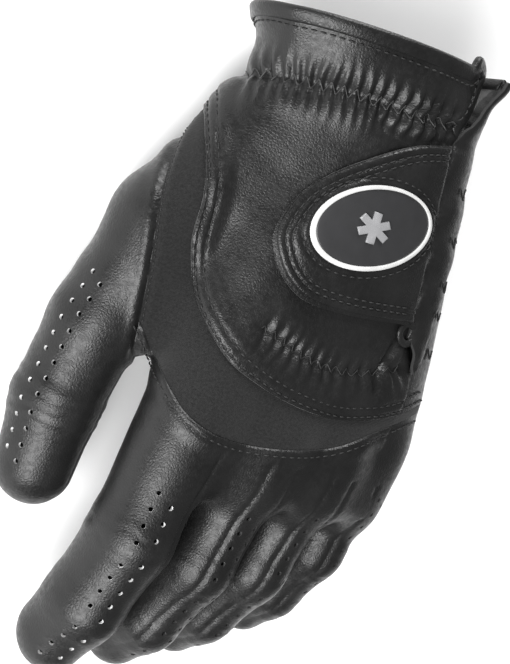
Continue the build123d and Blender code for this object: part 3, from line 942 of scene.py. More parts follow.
def make_mesh(name, points, faces, materials, slots=None, rest=None, normals=None):
    """Mesh object from hand-frame points in mm. rest keeps the undisturbed points for the textures."""
    mesh = bpy.data.meshes.new(name)
    placed = row(points)
    pressed = placed[:, 2] < PRESS_BELOW
    placed[pressed, 2] = PRESS_BELOW - (PRESS_BELOW - placed[pressed, 2]) * PRESS_SHARE
    mesh.from_pydata(placed.tolist(), [], faces)
    attribute = mesh.attributes.new("rest", "FLOAT_VECTOR", "POINT")
    rest = points if rest is None else rest
    attribute.data.foreach_set("vector", (rest / 1000).astype(np.float32).ravel())
    for material in materials:
        mesh.materials.append(material)
    if slots is not None:
        mesh.polygons.foreach_set("material_index", np.asarray(slots, np.int32))
    mesh.polygons.foreach_set("use_smooth", np.ones(len(mesh.polygons), bool))
    mesh.update()
    if normals is None:
        turned = bmesh.new()
        turned.from_mesh(mesh)
        bmesh.ops.recalc_face_normals(turned, faces=turned.faces)
        turned.to_mesh(mesh)
        turned.free()
    else:
        mesh.normals_split_custom_set_from_vertices((normals @ turn.T).tolist())
    obj = bpy.data.objects.new(name, mesh)
    bpy.context.scene.collection.objects.link(obj)
    return obj


def corner_normals(points, faces):
    n = face_cross(points, faces)
    out = np.zeros_like(points)
    for k in range(3):
        np.add.at(out, faces[:, k], n)
    return out / (np.linalg.norm(out, axis=1, keepdims=True) + 1e-12)


def border_edges(faces):
    edges = np.concatenate([faces[:, [0, 1]], faces[:, [1, 2]], faces[:, [2, 0]]])
    _, index, counts = np.unique(np.sort(edges, axis=1), axis=0, return_index=True, return_counts=True)
    return edges[index[counts == 1]]


def leather_shell(name, surface, faces, height, thickness, materials, skin=None, flush=None, offset=None):
    """Closed leather piece over part of a surface (points, normals): outer skin, inner skin and cut edges.
    height is each vertex's rise over the bare surface. On flush vertices the skin goes on smoothly
    into the neighbouring piece, so they keep the normals of the whole skin."""
    used, inverse = np.unique(faces, return_inverse=True)
    faces = inverse.reshape(faces.shape)
    p, n, h = surface[0][used], surface[1][used], height[used]
    base_point = p if offset is None else p + offset[used]
    outer = base_point + n * h[:, None]
    inner = base_point + n * (h - thickness)[:, None]
    edges = border_edges(faces)
    normals = corner_normals(outer, faces)
    if flush is not None:
        on_border = np.zeros(len(p), bool)
        on_border[edges.ravel()] = True
        kept = flush[used] & on_border
        normals[kept] = skin[used][kept]
    count = len(p)
    rim_index, rim_inverse = np.unique(edges, return_inverse=True)
    rim = rim_inverse.reshape(edges.shape)
    width = len(rim_index)
    base = 2 * count
    rim_points = np.concatenate([outer[rim_index], inner[rim_index]])
    start, end = rim[:, 0] + base, rim[:, 1] + base
    quads = np.stack([end, start, start + width, end + width], 1)
    outward = np.zeros_like(rim_points)
    away = np.cross(outer[edges[:, 1]] - outer[edges[:, 0]], n[edges[:, 0]])
    for k in (0, 1):
        np.add.at(outward, rim[:, k], away)
        np.add.at(outward, rim[:, k] + width, away)
    outward /= np.linalg.norm(outward, axis=1, keepdims=True) + 1e-12
    deep = p - n * thickness
    quad_middle = (p[edges[:, 0]] + p[edges[:, 1]]) / 2
    # walls of the index's and thumb's perforations get the pale material: painted light for the light seen
    # through the holes
    painted_lit_rim = np.zeros(len(quads), bool)
    if len(materials) > 3:
        for c in holes_painted_lit:
            painted_lit_rim |= np.linalg.norm(quad_middle - c, axis=1) < HOLE_RADIUS + 0.5
    return make_mesh(
        name, np.concatenate([outer, inner, rim_points]),
        faces.tolist() + (faces[:, ::-1] + count).tolist() + quads.tolist(), materials,
        slots=[0] * len(faces) + [1] * len(faces) + np.where(painted_lit_rim, 3, 2).tolist(),
        rest=np.concatenate([p, deep, p[rim_index], deep[rim_index]]),
        normals=np.concatenate([normals, -normals, outward]))


# ------------------------------------------------------------------ materials
class Shader:
    """Small helper that lays out a material's nodes."""

    def __init__(self, name, colour, roughness, **sockets):
        self.material = bpy.data.materials.new(name)
        self.material.use_nodes = True
        self.tree = self.material.node_tree
        self.surface = self.tree.nodes["Principled BSDF"]
        self.surface.inputs["Base Color"].default_value = (*colour, 1)
        self.surface.inputs["Roughness"].default_value = roughness
        for socket, value in sockets.items():
            self.surface.inputs[socket.replace("_", " ").title().replace("Ior", "IOR")].default_value = value
        self.place = self.node("Attribute")
        self.place.attribute_name = "rest"

    def node(self, kind, **settings):
        made = self.tree.nodes.new("ShaderNode" + kind)
        for key, value in settings.items():
            setattr(made, key, value)
        return made

    def link(self, source, target):
        self.tree.links.new(source, target)

    def noise(self, scale, detail=2.0, roughness=0.5):
        made = self.node("TexNoise")
        made.inputs["Scale"].default_value = scale
        made.inputs["Detail"].default_value = detail
        made.inputs["Roughness"].default_value = roughness
        self.link(self.place.outputs["Vector"], made.inputs["Vector"])
        return made.outputs["Fac"]

    def cells(self, scale):
        made = self.node("TexVoronoi", feature="DISTANCE_TO_EDGE")
        made.inputs["Scale"].default_value = scale
        self.link(self.place.outputs["Vector"], made.inputs["Vector"])
        return made.outputs["Distance"]

    def ribs(self, scale, axis, distortion=0.0):
        made = self.node("TexWave", wave_type="BANDS", bands_direction=axis)
        made.inputs["Scale"].default_value = scale
        made.inputs["Distortion"].default_value = distortion
        made.inputs["Detail Scale"].default_value = 2.0
        self.link(self.place.outputs["Vector"], made.inputs["Vector"])
        return made.outputs["Fac"]

    def spread(self, source, low, high, start=0.0, end=1.0):
        """Maps a value from start..end to low..high."""
        made = self.node("MapRange")
        for socket, value in (("From Min", start), ("From Max", end), ("To Min", low), ("To Max", high)):
            made.inputs[socket].default_value = value
        self.link(source, made.inputs["Value"])
        return made.outputs["Result"]

    def tint(self, source, dark, light):
        """Colour that goes from dark to light with a value."""
        blend = self.node("ValToRGB")
        for element, position, colour in zip(blend.color_ramp.elements, (0.3, 0.7), (dark, light)):
            element.position = position
            element.color = (*colour, 1)
        self.link(source, blend.inputs["Fac"])
        self.link(blend.outputs["Color"], self.surface.inputs["Base Color"])

    def bump(self, source, strength, distance, below=None):
        made = self.node("Bump")
        made.inputs["Strength"].default_value = strength
        made.inputs["Distance"].default_value = distance
        self.link(source, made.inputs["Height"])
        if below is not None:
            self.link(below, made.inputs["Normal"])
        return made.outputs["Normal"]

    def finish(self, normal):
        self.link(normal, self.surface.inputs["Normal"])
        return self.material


def leather(name, light, roughness):
    """Smooth black leather with a fine grain of rounded cells."""
    shader = Shader(name, (light, light, light * 1.05), roughness, specular_ior_level=0.28)
    shader.tint(shader.noise(90, 3), [light * 0.75] * 3, [light * 1.3] * 3)
    shader.link(shader.spread(shader.noise(700, 2), roughness - 0.07, roughness + 0.09, 0.35, 0.65),
                shader.surface.inputs["Roughness"])
    creases = shader.bump(shader.noise(330, 3, 0.55), 0.06, 0.0003)
    grain = shader.bump(shader.spread(shader.cells(1100), 0, 1, 0.0, 0.3), 0.4, 0.0001, creases)
    return shader.finish(grain)


def suede(name, light):
    shader = Shader(name, (light, light, light), 0.9, sheen_weight=0.15, sheen_roughness=0.5)
    shader.tint(shader.noise(400, 4), [light * 0.7] * 3, [light * 1.4] * 3)
    return shader.finish(shader.bump(shader.noise(2500, 3), 0.6, 0.0002))


def knit(name, light, rib=698.0):
    """Matte stretch fabric with fine crosswise ribs."""
    shader = Shader(name, (light, light, light), 0.9, specular_ior_level=0.15, sheen_weight=0.08,
                    sheen_roughness=0.5)
    shader.tint(shader.noise(1500, 2), [light * 0.7] * 3, [light * 1.45] * 3)
    ribs = shader.bump(shader.ribs(rib, "Y", 0.6), 0.5, 0.00012)
    wales = shader.bump(shader.ribs(rib * 1.3, "X", 0.4), 0.35, 0.00008, ribs)
    return shader.finish(wales)


def thread(name, light):
    shader = Shader(name, (light, light, light), 0.6, specular_ior_level=0.35)
    shader.tint(shader.noise(3000, 1), [light * 0.8] * 3, [light * 1.2] * 3)
    return shader.finish(shader.bump(shader.ribs(1400, "DIAGONAL"), 0.4, 0.00006))


def rubber(name, colour, roughness):
    shader = Shader(name, colour, roughness)
    shader.tint(shader.noise(250, 3), [c * 0.92 for c in colour], [min(c * 1.08, 1) for c in colour])
    return shader.finish(shader.bump(shader.noise(1800, 2), 0.15, 0.00005))


LEATHER = leather("black_leather", 0.008, 0.37)
TAB_LEATHER = leather("tab_leather", 0.008, 0.34)
BINDING_LEATHER = leather("binding_leather", 0.008, 0.35)
SUEDE = suede("suede_side", 0.02)
EDGE = suede("cut_edge", 0.006)
# pale suede for the perforation walls is painted light, standing in for the light seen through the holes
HOLE_LIGHT_EDGE = suede("hole_edge_painted_light", 0.5)
KNIT = knit("stretch_knit", 0.009)
ELASTIC = knit("elastic", 0.045, 500.0)
LINING = suede("lining", 0.03)
HOOKS = suede("hook_and_loop", 0.015)
THREAD = thread("black_thread", 0.009)
PALE_THREAD = thread("grey_thread", 0.03)
FIELD = rubber("badge_field", (0.018, 0.018, 0.019), 0.42)
WHITE = rubber("badge_ring", (0.44, 0.44, 0.435), 0.5)
EMBLEM = rubber("badge_emblem", (0.2, 0.2, 0.205), 0.35)
LEATHER_SET = (LEATHER, SUEDE, EDGE, HOLE_LIGHT_EDGE)     # outer side, inner side, cut edges, perforation walls painted pale as painted light seen through the holes


# ------------------------------------------------------------------ laying flat lines on the back
ABOVE = 60      # flat points are dropped on the skin from this height


def onto_back(q):
    """The skin points under flat pattern points."""
    p = q[:, :1] * ACROSS + q[:, 1:] * np.array([[0, 1, 0]]) + OUTWARD * ABOVE
    return drop_on_skin(p, np.tile(-OUTWARD, (len(p), 1)))


def lay(q, height, damp=1.0):
    """Skin points over flat pattern points, raised by damp times the relief plus height, and normals."""
    p = onto_back(np.atleast_2d(q))
    n = normal_of(p)
    rise = height(p) if callable(height) else height
    return p + n * (damp * relief(p) + rise)[:, None], n


def lay_line(line, height, damp=1.0):
    """The same for a line, without the points that pass beside the hand."""
    hit = np.abs(hand_field(onto_back(line))) < 0.3
    return lay(line[hit], height, damp)


slit_edge = lay_line(SLIT, 0.0, 0.0)[0][::-1]
FLAP_START, FLAP_END = 93.0, 118.5
FLAP_REACH = 7.5


def flare(p):
    """The little-finger side's top corner stands out from the wrist as a pointed flap."""
    edge = np.stack([np.interp(p[:, 1], slit_edge[:, 1], slit_edge[:, i]) for i in range(3)], 1)
    edge[:, 1] = p[:, 1]
    close = 1 - ramp(np.linalg.norm(p - edge, axis=1), 1.5, 13)
    rise = ramp(p[:, 1], FLAP_START, FLAP_END)
    return (ACROSS * FLAP_REACH + OUTWARD * 1.5) * (rise * close)[:, None]


# ------------------------------------------------------------------ leather pieces
vertex_normal = normal_of(verts)
vertex_relief = relief(verts)
skin_points = verts + vertex_normal * vertex_relief[:, None]
skin_normal = corner_normals(skin_points, tris)
lift_of = {label: LIFTS.get(label, no_lift)(verts) for label in labels}
lowest = np.full(len(verts), 99.0)
highest = np.full(len(verts), -99.0)
for label in labels:
    used = np.unique(tris[names == label])
    lowest[used] = np.minimum(lowest[used], lift_of[label][used])
    highest[used] = np.maximum(highest[used], lift_of[label][used])
flush = highest - lowest < 0.06

STANDS_FOR = {
    "back_leather": "back_panel", "stretch_knit": "stretch_panel", "yoke_leather": "finger_yoke",
    "ulnar_leather": "ulnar_panel", "thumb_mound_leather": "thumb_mount", "palm_leather": "palm_panel",
    "web_leather": "finger_yoke",
}


def blend_limb(piece, part):
    """Bakes a limb's piece's placement into its mesh, the same way for both segments."""
    if part == "proximal":
        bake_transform(piece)
    else:
        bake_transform(piece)


for label in labels:
    is_limb = "_proximal_" in label or "_distal_" in label
    cloth = (KNIT, KNIT, KNIT) if label == "stretch_knit" else LEATHER_SET
    piece = leather_shell(label + "_skin" if is_limb else label, (verts, vertex_normal), tris[names == label],
                          vertex_relief + lift_of[label], THICK, cloth, skin_normal, flush,
                          flare(verts) if label == "ulnar_leather" else None)
    if is_limb:
        name, part = label.split("_")[:2]
        blend_limb(piece, part)
        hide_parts(label)
    else:
        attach(piece, "hand")
        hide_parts(STANDS_FOR[label])
print("leather pieces", len(labels))


# ------------------------------------------------------------------ trims on the surface
def shifted(line, distance):
    """A flat line moved sideways, to its left for a positive distance."""
    t = np.gradient(line, axis=0)
    t /= np.linalg.norm(t, axis=1, keepdims=True) + 1e-12
    return line + np.stack([-t[:, 1], t[:, 0]], 1) * distance


def run_of(points):
    return np.concatenate([[0], np.cumsum(np.linalg.norm(np.diff(points, axis=0), axis=1))])


def at_runs(points, run, where):
    return np.stack([np.interp(where, run, points[:, i]) for i in range(3)], 1)


def strip_faces(rings, sides, closed=False):
    """Faces between successive rings of points."""
    faces = []
    for i in range(rings if closed else rings - 1):
        a, b = i * sides, ((i + 1) % rings) * sides
        faces += [(a + k, a + (k + 1) % sides, b + (k + 1) % sides, b + k) for k in range(sides)]
    return faces


# rings of one stitch: share of its half length, of its radius, and rise in radii
STITCH_RINGS = ((-1, 0.3, -1.2), (-0.8, 0.8, -0.2), (-0.35, 1, 0.55),
                (0.35, 1, 0.55), (0.8, 0.8, -0.2), (1, 0.3, -1.2))
STITCH_SIDES = 6


def stitch_form(radius, length):
    """One stitch: a thread that rises from its needle holes."""
    points = []
    for t, size, rise in STITCH_RINGS:
        for k in range(STITCH_SIDES):
            angle = k * math.pi / 3
            across = radius * size * math.cos(angle)
            points.append((t * length / 2, across, radius * (rise + size * math.sin(angle))))
    faces = strip_faces(len(STITCH_RINGS), STITCH_SIDES)
    faces.append(tuple(range(STITCH_SIDES))[::-1])
    faces.append(tuple(range(len(points) - STITCH_SIDES, len(points))))
    return np.array(points), faces


def stitch_row(paths, radius=0.26, pitch=2.7, length=2.0):
    """Points and faces of all stitches along some (points, normals) paths."""
    form, form_faces = stitch_form(radius, length)
    points, faces = [], []
    for path, normal in paths:
        run = run_of(path)
        where = np.arange(pitch / 2, run[-1], pitch)
        centre = at_runs(path, run, where)
        ahead = at_runs(path, run, where + 0.5) - at_runs(path, run, where - 0.5)
        up = at_runs(normal, run, where)
        for c, t, u in zip(centre, ahead, up):
            if np.linalg.norm(t) < 1e-6:
                continue
            t = unit(t)
            side = unit(np.cross(u, t))
            u = np.cross(t, side)
            first = len(points) * len(form)
            points.append(c + form[:, :1] * t + form[:, 1:2] * side + form[:, 2:] * u)
            faces += [tuple(first + k for k in face) for face in form_faces]
    return np.concatenate(points), faces


def sweep(path, side, up, profile, closed=False):
    """A closed profile of (side, up) pairs carried along a path."""
    count, m = len(path), len(profile)
    points = path[:, None] + side[:, None] * profile[None, :, :1] + up[:, None] * profile[None, :, 1:]
    points = points.reshape(-1, 3)
    faces = strip_faces(count, m, closed)
    if not closed:
        faces += [tuple(range(m))[::-1], tuple((count - 1) * m + k for k in range(m))]
    return points, faces


def frames(path, normal):
    """Side and up directions square to the path, up close to the surface normal."""
    t = np.gradient(path, axis=0)
    t /= np.linalg.norm(t, axis=1, keepdims=True) + 1e-12
    side = np.cross(normal, t)
    side /= np.linalg.norm(side, axis=1, keepdims=True) + 1e-12
    return side, np.cross(t, side)


def ring_profile(radius, sides=6):
    angle = np.arange(sides) * 2 * math.pi / sides
    return radius * np.stack([np.cos(angle), np.sin(angle)], 1)


def join(parts):
    points, faces, first = [], [], 0
    for p, f in parts:
        points.append(p)
        faces += [tuple(first + k for k in face) for face in f]
        first += len(p)
    return np.concatenate(points), faces


def sew_to_hand(piece):
    """Bakes a tab layer's placement into its mesh."""
    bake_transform(piece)


def add_trim(name, part, material, body, slot, *nodes):
    points, faces = part
    piece = make_mesh(name, points, faces, (material,))
    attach(piece, body)
    if nodes:
        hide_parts(*nodes)


def zigzag(line, wave, reach, height, radius=0.2):
    """A thread that runs to and fro across a flat line."""
    dense = even_line(line, wave / 12)
    run = run_of(np.column_stack([dense, np.zeros(len(dense))]))
    swing = np.arcsin(0.97 * np.sin(run * 2 * math.pi / wave)) / 1.33
    t = np.gradient(dense, axis=0)
    t /= np.linalg.norm(t, axis=1, keepdims=True)
    q = dense + np.stack([-t[:, 1], t[:, 0]], 1) * (swing * reach)[:, None]
    path, normal = lay_line(q, height)
    side, up = frames(path, normal)
    return sweep(path, side, up, ring_profile(radius))


def stitches(name, parts, body="hand", **size):
    add_trim(name, stitch_row(parts, **size), THREAD, body, "leather")


def sewn_line(line, distance, start, end, height):
    """A stitch row beside a pattern line, without some points at its two ends."""
    return lay_line(even_line(shifted(line, distance), 0.7)[start:end], height)


stitches("welt_stitches",
         [sewn_line(WELT, row_at, 6, -4, lambda p: lift_back(p) + 0.05) for row_at in WELT_ROWS])
stitches("yoke_stitches",
         [sewn_line(YOKE_SEAM, -row_at, 4, -6, lambda p: lift_yoke(p) + 0.05) for row_at in YOKE_ROWS])
stitches("thumb_stitches", [sewn_line(THUMB_SEAM, 0.7, 2, -6, 0.1)], pitch=1.9, length=1.3, radius=0.2)
add_trim("wrist_zigzag", zigzag(WRIST_LINE, 3.6, 1.5, 0.3), PALE_THREAD, "hand", "leather")
add_trim("knuckle_zigzag", zigzag(KNUCKLE_LINE, 3.0, 1.0, lambda p: lift_back(p) + 0.15), THREAD, "hand",
         "leather")
side_groups = []
for y in (81, 67, 54, 45, 33.5):
    s_mid = 26.6 + (81 - y) * 0.08 + 3.4
    group = np.array([(s_mid - 2.6, y - 0.6), (s_mid + 2.6, y + 0.6)])
    side_groups.append(zigzag(group, 1.7, 1.6, lambda p: lift_ulnar(p) + 0.1, radius=0.18))
add_trim("side_zigzag", join(side_groups), THREAD, "hand", "leather")

# ---- inner elastics
SIDE_LINE = smooth_line([(26.5, 80), (29, 58), (30, 40)])
for name, node, line, half in (
        ("wrist_band", "wrist_elastic", WRIST_LINE, 3.4),
        ("knuckle_band", "knuckle_elastic", KNUCKLE_LINE, 2.6),
        ("side_band", "ulnar_elastic", SIDE_LINE, 2.4)):
    path, normal = lay_line(even_line(line, 2.0), -1.75)
    side, up = frames(path, normal)
    profile = np.array([(-half, -0.3), (half, -0.3), (half, 0.3), (-half, 0.3)])
    add_trim(name, sweep(path, side, up, profile), ELASTIC, "hand", "elastic", node)

# ---- bound cuff edge and slit corner
def cuff_point(angle):
    """Point of the bare surface on the cuff edge at an angle around the wrist."""
    p = np.zeros((len(angle), 3))
    p[:, 1] = CUFF_Y
    for _ in range(4):
        section = section_at(p[:, 1])
        p[:, 0] = section[:, 0] + section[:, 2] * np.cos(angle)
        p[:, 2] = section[:, 1] + section[:, 3] * np.sin(angle)
        p[:, 1] = CUFF_Y + CUFF_RISE * (p[:, 0] + 10)
    return p


SLIT_FAR_SIDE = 26.6        # the little-finger side's leather starts here, across the pattern
FLAP_POINTS = 60            # points of the cuff edge that go with the flap
ROW_START = 30              # the stitch row under the binding starts at this point of the edge
ROW_FREE = 40               # before this point the row follows the flap, not the bare surface

around = np.linspace(0, 2 * math.pi, 721)
loop = cuff_point(around)
on_back = near_side(normal_of(loop)) & (loop[:, 2] > -5)
slit_turn = around[on_back & (flat(loop)[:, 0] > SLIT_CORNER[0])].max()
beyond_slit = on_back & (flat(loop)[:, 0] > SLIT_FAR_SIDE)
flap_turn = around[beyond_slit].max() if beyond_slit.any() else 0.0
wrist_loop = settle(cuff_point(np.linspace(flap_turn - 0.05 + 2 * math.pi, slit_turn, 260)))
wrist_loop[:FLAP_POINTS] += flare(wrist_loop[:FLAP_POINTS])
corner_turn = np.linspace(math.pi / 2, 0, 10)[1:]
corner = SLIT_CORNER + CORNER_RADIUS * np.stack([np.cos(corner_turn), np.sin(corner_turn)], 1)
down = even_line(np.array([corner[-1], (25.4, 107), (22.4, 95.5)]), 0.9)[1:]
bound_path = np.concatenate([wrist_loop, lay(np.concatenate([corner, down]), 0.0, 0.0)[0]])
bound_path = even_line(bound_path, 0.9)
bound_normal = normal_of(settle(bound_path))
bound_path = bound_path + bound_normal * (0.5 * relief(bound_path))[:, None]
for _ in range(4):
    bound_path[1:-1] = (bound_path[:-2] + 2 * bound_path[1:-1] + bound_path[2:]) / 4
edge_side, edge_up = frames(bound_path, bound_normal)
binding_profile = np.array([
    (-3.6, 0.15), (-3.5, 0.75), (-2.9, 1.0), (-1.2, 1.05), (0.2, 1.0), (0.85, 0.55), (1.05, -0.1),
    (0.8, -0.9), (0.1, -1.35), (-2.6, -1.45), (-2.7, -1.05), (-0.2, -0.85), (-0.2, 0.1)])
binding_part = sweep(bound_path, edge_side, edge_up, binding_profile)
add_trim("cuff_binding_strip", binding_part, BINDING_LEATHER, "hand", "binding", "cuff_binding")
row_path = bound_path - edge_side * CUFF_ROW
row_path[ROW_FREE:] = settle(row_path[ROW_FREE:])
row_normal = normal_of(settle(row_path))
row_path = row_path + row_normal * (relief(row_path) + 0.22)[:, None]
stitches("cuff_stitches", [(row_path[ROW_START:], row_normal[ROW_START:])])

# ---- loop at the slit's lower end
ring_turn = np.linspace(0, 2 * math.pi, 40, endpoint=False)
ring_line = KEYHOLE + np.stack([2.2 * np.cos(ring_turn), 2.9 * np.sin(ring_turn)], 1)
path, normal = lay(ring_line, 1.0, 0.3)
side, up = frames(*(np.concatenate([part[-1:], part, part[:1]]) for part in (path, normal)))
ring_shape = ring_profile(1.0, 10) * (1.15, 0.75)
loop_part = sweep(path, side[1:-1], up[1:-1], ring_shape, closed=True)
add_trim("slit_loop", loop_part, BINDING_LEATHER, "hand", "binding", "slit_binding")

# ------------------------------------------------------------------ closure tab
BADGE_CENTRE = np.array((5.3, 63.0))
BADGE_HALF = np.array((17.1, 11.6))
BADGE_TURN = math.radians(28)
FIELD_HALF = np.array((15.9, 10.4))
FIELD_SHIFT = 0.4
TAB_ROWS = (2.3, 4.0)
TAB_BASE = 2.2
BADGE_ROW = 2.0


def turned_flat(q, angle):
    c, k = math.cos(angle), math.sin(angle)
    return q @ np.array([(c, k), (-k, c)])


def badge_distance(p):
    """Rough distance outside the badge's rim, negative inside."""
    q = turned_flat(flat(p) - BADGE_CENTRE, -BADGE_TURN)
    share = np.hypot(q[:, 0] / BADGE_HALF[0], q[:, 1] / BADGE_HALF[1]) + 1e-9
    return np.hypot(q[:, 0], q[:, 1]) * (1 - 1 / share)


def tab_base(p):
    return TAB_BASE + 0.9 + 0.28 * ripple(p, 34)


def tab_height(p):
    q = flat(p)
    d = outline_field(q, TAB_OUTLINE)
    curved, _, _ = distance_to_line(q, TAB_LINE)
    rim = badge_distance(p)
    h = tab_base(p) - 0.8 * (1 - rolled(np.maximum(d, 0), 1.0, 0)) - 0.25 * (1 - ramp(d, 0, 7))
    for row_at in TAB_ROWS:
        h -= 0.38 * hill(curved - row_at, 0.5)
    h += 0.2 * hill(curved - sum(TAB_ROWS) / 2, 0.5)
    h += 0.12 * np.cos(q[:, 1] * 1.1 + q[:, 0] * 0.6) * hill(curved - 5.5, 2.0) * 0.5
    h += 0.30 * hill(rim - 0.7, 0.7) - 0.28 * hill(rim - BADGE_ROW, 0.45) + 0.15 * hill(rim - 3.2, 0.9)
    return h


def patch_mesh(field, low, high, levels):
    """The back's mesh where a flat field is positive, cut cleanly along its levels."""
    q = flat(centre)
    pick = near & ((q > low) & (q < high)).all(1)
    used, inverse = np.unique(tris[pick], return_inverse=True)
    points, faces = verts[used], inverse.reshape(-1, 3)
    points, faces = refine(points, faces, lambda p: np.abs(field(flat(p))) < 2.5, 0.9)
    for level in levels:
        points, faces = cut(points, faces, lambda p: field(flat(p)), level)
    points = settle(points, 1)
    faces = faces[field(flat(points[faces].mean(1))) > levels[0]]
    return points, normal_of(points), faces


TAB_LOW, TAB_HIGH = TAB_OUTLINE.min(0) - 3, TAB_OUTLINE.max(0) + 3


def tab_field(q):
    return outline_field(q, TAB_OUTLINE)


def lip_field(q):
    return np.maximum(tab_field(q), tab_field(q + (0.7, 1.0)))


def tab_sheet(name, field, levels, height, thickness, materials, body, node):
    points, normal, faces = patch_mesh(field, TAB_LOW, TAB_HIGH, levels)
    piece = leather_shell(name, (points, normal), faces, height(points), thickness, materials)
    if node in ("tab_leather", "tab_lining"):
        sew_to_hand(piece)
    else:
        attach(piece, body)
    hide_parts(node)


def lining_height(p):
    return tab_base(p) - 1.02 - 0.25 * (1 - ramp(lip_field(flat(p)), 0, 1.2))


HOOK_SET = (HOOKS, HOOKS, HOOKS)
tab_sheet("loop_patch_fabric", tab_field, (4.5,), lambda p: relief(p) + 0.75, 0.5, HOOK_SET,
          "hand", "loop_patch")
tab_sheet("hook_patch_fabric", tab_field, (5.5,), lambda p: tab_base(p) - 1.35, 0.5, HOOK_SET,
          "tab", "hook_patch")
tab_sheet("tab_lining_layer", lip_field, (-0.05, 0.7), lining_height, 0.3, (LEATHER, LINING, EDGE),
          "tab", "tab_lining")
tab_sheet("tab_leather_layer", tab_field, (0, 0.3, 0.9, 2.3, 4.0), tab_height, THICK, (TAB_LEATHER, SUEDE, EDGE),
          "tab", "tab_leather")
tab_rows = [lay_line(even_line(shifted(TAB_LINE, row_at), 0.7)[3:-3], lambda p: tab_height(p) + 0.12, 0.0)
            for row_at in TAB_ROWS]
turn_round = np.linspace(0, 2 * math.pi, 161)


def badge_line(half, angle, shift_along=0.0):
    q = np.stack([half[0] * np.cos(angle) + shift_along, half[1] * np.sin(angle)], 1)
    return turned_flat(q, BADGE_TURN) + BADGE_CENTRE


tab_rows.append(lay(badge_line(BADGE_HALF + BADGE_ROW, turn_round), lambda p: tab_height(p) + 0.12, 0.0))
stitches("tab_stitches", tab_rows, "tab")


def plate(inner, outer, profile, closed):
    """Raised plate between two flat outlines; profile holds (share from inner to outer, height)."""
    rings = []
    for share, height in profile:
        q = inner * (1 - share) + outer * share
        rings.append(lay(q, lambda p: tab_base(p) + height, 0.0)[0])
    m = len(inner)
    faces = strip_faces(len(rings), m, closed)
    if not closed:
        faces += [tuple(range(m)), tuple((len(rings) - 1) * m + k for k in range(m))]
    return np.concatenate(rings), faces


badge_turn = turn_round[:-1]
rim_line = badge_line(BADGE_HALF, badge_turn)
field_line = badge_line(FIELD_HALF, badge_turn, FIELD_SHIFT)
middle = np.tile(field_line.mean(0), (len(badge_turn), 1))
FIELD_RISE = 0.35
RING_RISE = 0.75
field_profile = [(0.02, FIELD_RISE)] + [(t, FIELD_RISE) for t in (0.3, 0.6, 0.85, 0.97)] + [
    (1.0, FIELD_RISE - 0.1), (1.0, -0.5), (0.02, -0.5)]
field_plate = plate(middle, field_line, field_profile, False)
add_trim("badge_field_plate", field_plate, FIELD, "tab", "badge_field", "badge_base")
ring_profile_points = [
    (0, -0.5), (0, RING_RISE - 0.2), (0.1, RING_RISE - 0.04), (0.3, RING_RISE), (0.7, RING_RISE),
    (0.9, RING_RISE - 0.06), (1, RING_RISE - 0.25), (1, -0.5)]
ring_plate = plate(field_line, rim_line, ring_profile_points, True)
add_trim("badge_ring_plate", ring_plate, WHITE, "tab", "badge_ring", "badge_ring")
BAR_LENGTH, BAR_WIDTH = 9.0, 2.2
star = []
for arm in range(6):
    angle = arm * math.pi / 3
    along, c, k = BAR_LENGTH / 2, math.cos(angle), math.sin(angle)
    for across in (-BAR_WIDTH / 2, BAR_WIDTH / 2):
        star.append((along * c - across * k, along * k + across * c))
    star.append((BAR_WIDTH * math.cos(angle + math.pi / 6), BAR_WIDTH * math.sin(angle + math.pi / 6)))
star = turned_flat(np.array(star), BADGE_TURN) + field_line.mean(0)
star_middle = np.tile(star.mean(0), (len(star), 1))
star_profile = [(0.9, FIELD_RISE + 0.55), (0.97, FIELD_RISE + 0.5), (1.0, FIELD_RISE + 0.35),
                (1.0, FIELD_RISE - 0.15), (0.5, FIELD_RISE - 0.15)]
star_plate = plate(star_middle, star, star_profile, False)
add_trim("badge_star", star_plate, EMBLEM, "tab", "badge_emblem", "badge_emblem")

# ------------------------------------------------------------------ camera, light and floor
VIEW_RIGHT = np.array((0.736, 0.276, 0.618))
VIEW_UP = np.array((-0.211, 0.961, -0.177))
VIEW_BACK = np.array((-0.643, 0.0, 0.766))
TARGET = np.array((-10.0, 10.0, -8.0)) + 0.87 * VIEW_RIGHT + 16.2 * VIEW_UP
DISTANCE = 650.0

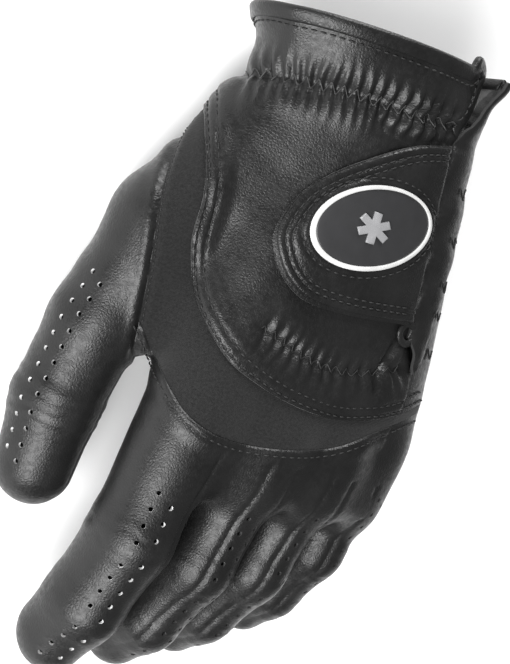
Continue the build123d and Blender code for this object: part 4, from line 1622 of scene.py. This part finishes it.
camera = bpy.data.objects.new("camera", bpy.data.cameras.new("camera"))
bpy.context.scene.collection.objects.link(camera)
camera.data.sensor_fit = "VERTICAL"
camera.data.sensor_height = 36
camera.data.lens = 121.5
axes = (np.stack([VIEW_RIGHT, VIEW_UP, VIEW_BACK]) @ turn.T).T
camera_place = Matrix.Translation(row(TARGET + DISTANCE * VIEW_BACK)[0])
camera.matrix_world = camera_place @ Matrix(axes.tolist()).to_4x4()
bpy.context.scene.camera = camera
bpy.context.scene.view_settings.view_transform = "Standard"


def area_light(name, place, size, power):
    """Soft light at a place given along the view's right, up and back, in metres."""
    light = bpy.data.lights.new(name, "AREA")
    light.shape = "RECTANGLE"
    light.size, light.size_y = size
    light.energy = power
    obj = bpy.data.objects.new(name, light)
    at = row(TARGET + 1000 * (place[0] * VIEW_RIGHT + place[1] * VIEW_UP + place[2] * VIEW_BACK))[0]
    look = Vector(row(TARGET)[0]) - Vector(at)
    obj.matrix_world = Matrix.Translation(at) @ look.to_track_quat("-Z", "Y").to_matrix().to_4x4()
    bpy.context.scene.collection.objects.link(obj)


area_light("key", (-0.4, -0.55, 1.1), (1.0, 1.0), 46)
area_light("fill", (0.7, 1.1, 0.45), (0.8, 0.8), 27)
area_light("side", (-1.0, 0.5, 0.5), (0.6, 0.6), 9)
world = bpy.data.worlds.new("world")
world.use_nodes = True
world.node_tree.nodes["Background"].inputs["Color"].default_value = (1, 1, 1, 1)
world.node_tree.nodes["Background"].inputs["Strength"].default_value = 0.24
bpy.context.scene.world = world

floor_mesh = bpy.data.meshes.new("floor")
FLOOR_HALF = 3.0
floor_corners = [(x * FLOOR_HALF, y * FLOOR_HALF, 0) for x, y in ((-1, -1), (1, -1), (1, 1), (-1, 1))]
floor_mesh.from_pydata(floor_corners, [], [(0, 1, 2, 3)])
floor = bpy.data.objects.new("floor", floor_mesh)
bpy.context.scene.collection.objects.link(floor)
paper = bpy.data.materials.new("pale_floor")
paper.use_nodes = True
paper.node_tree.nodes["Principled BSDF"].inputs["Base Color"].default_value = (0.93, 0.93, 0.93, 1)
paper.node_tree.nodes["Principled BSDF"].inputs["Roughness"].default_value = 0.9
floor_mesh.materials.append(paper)
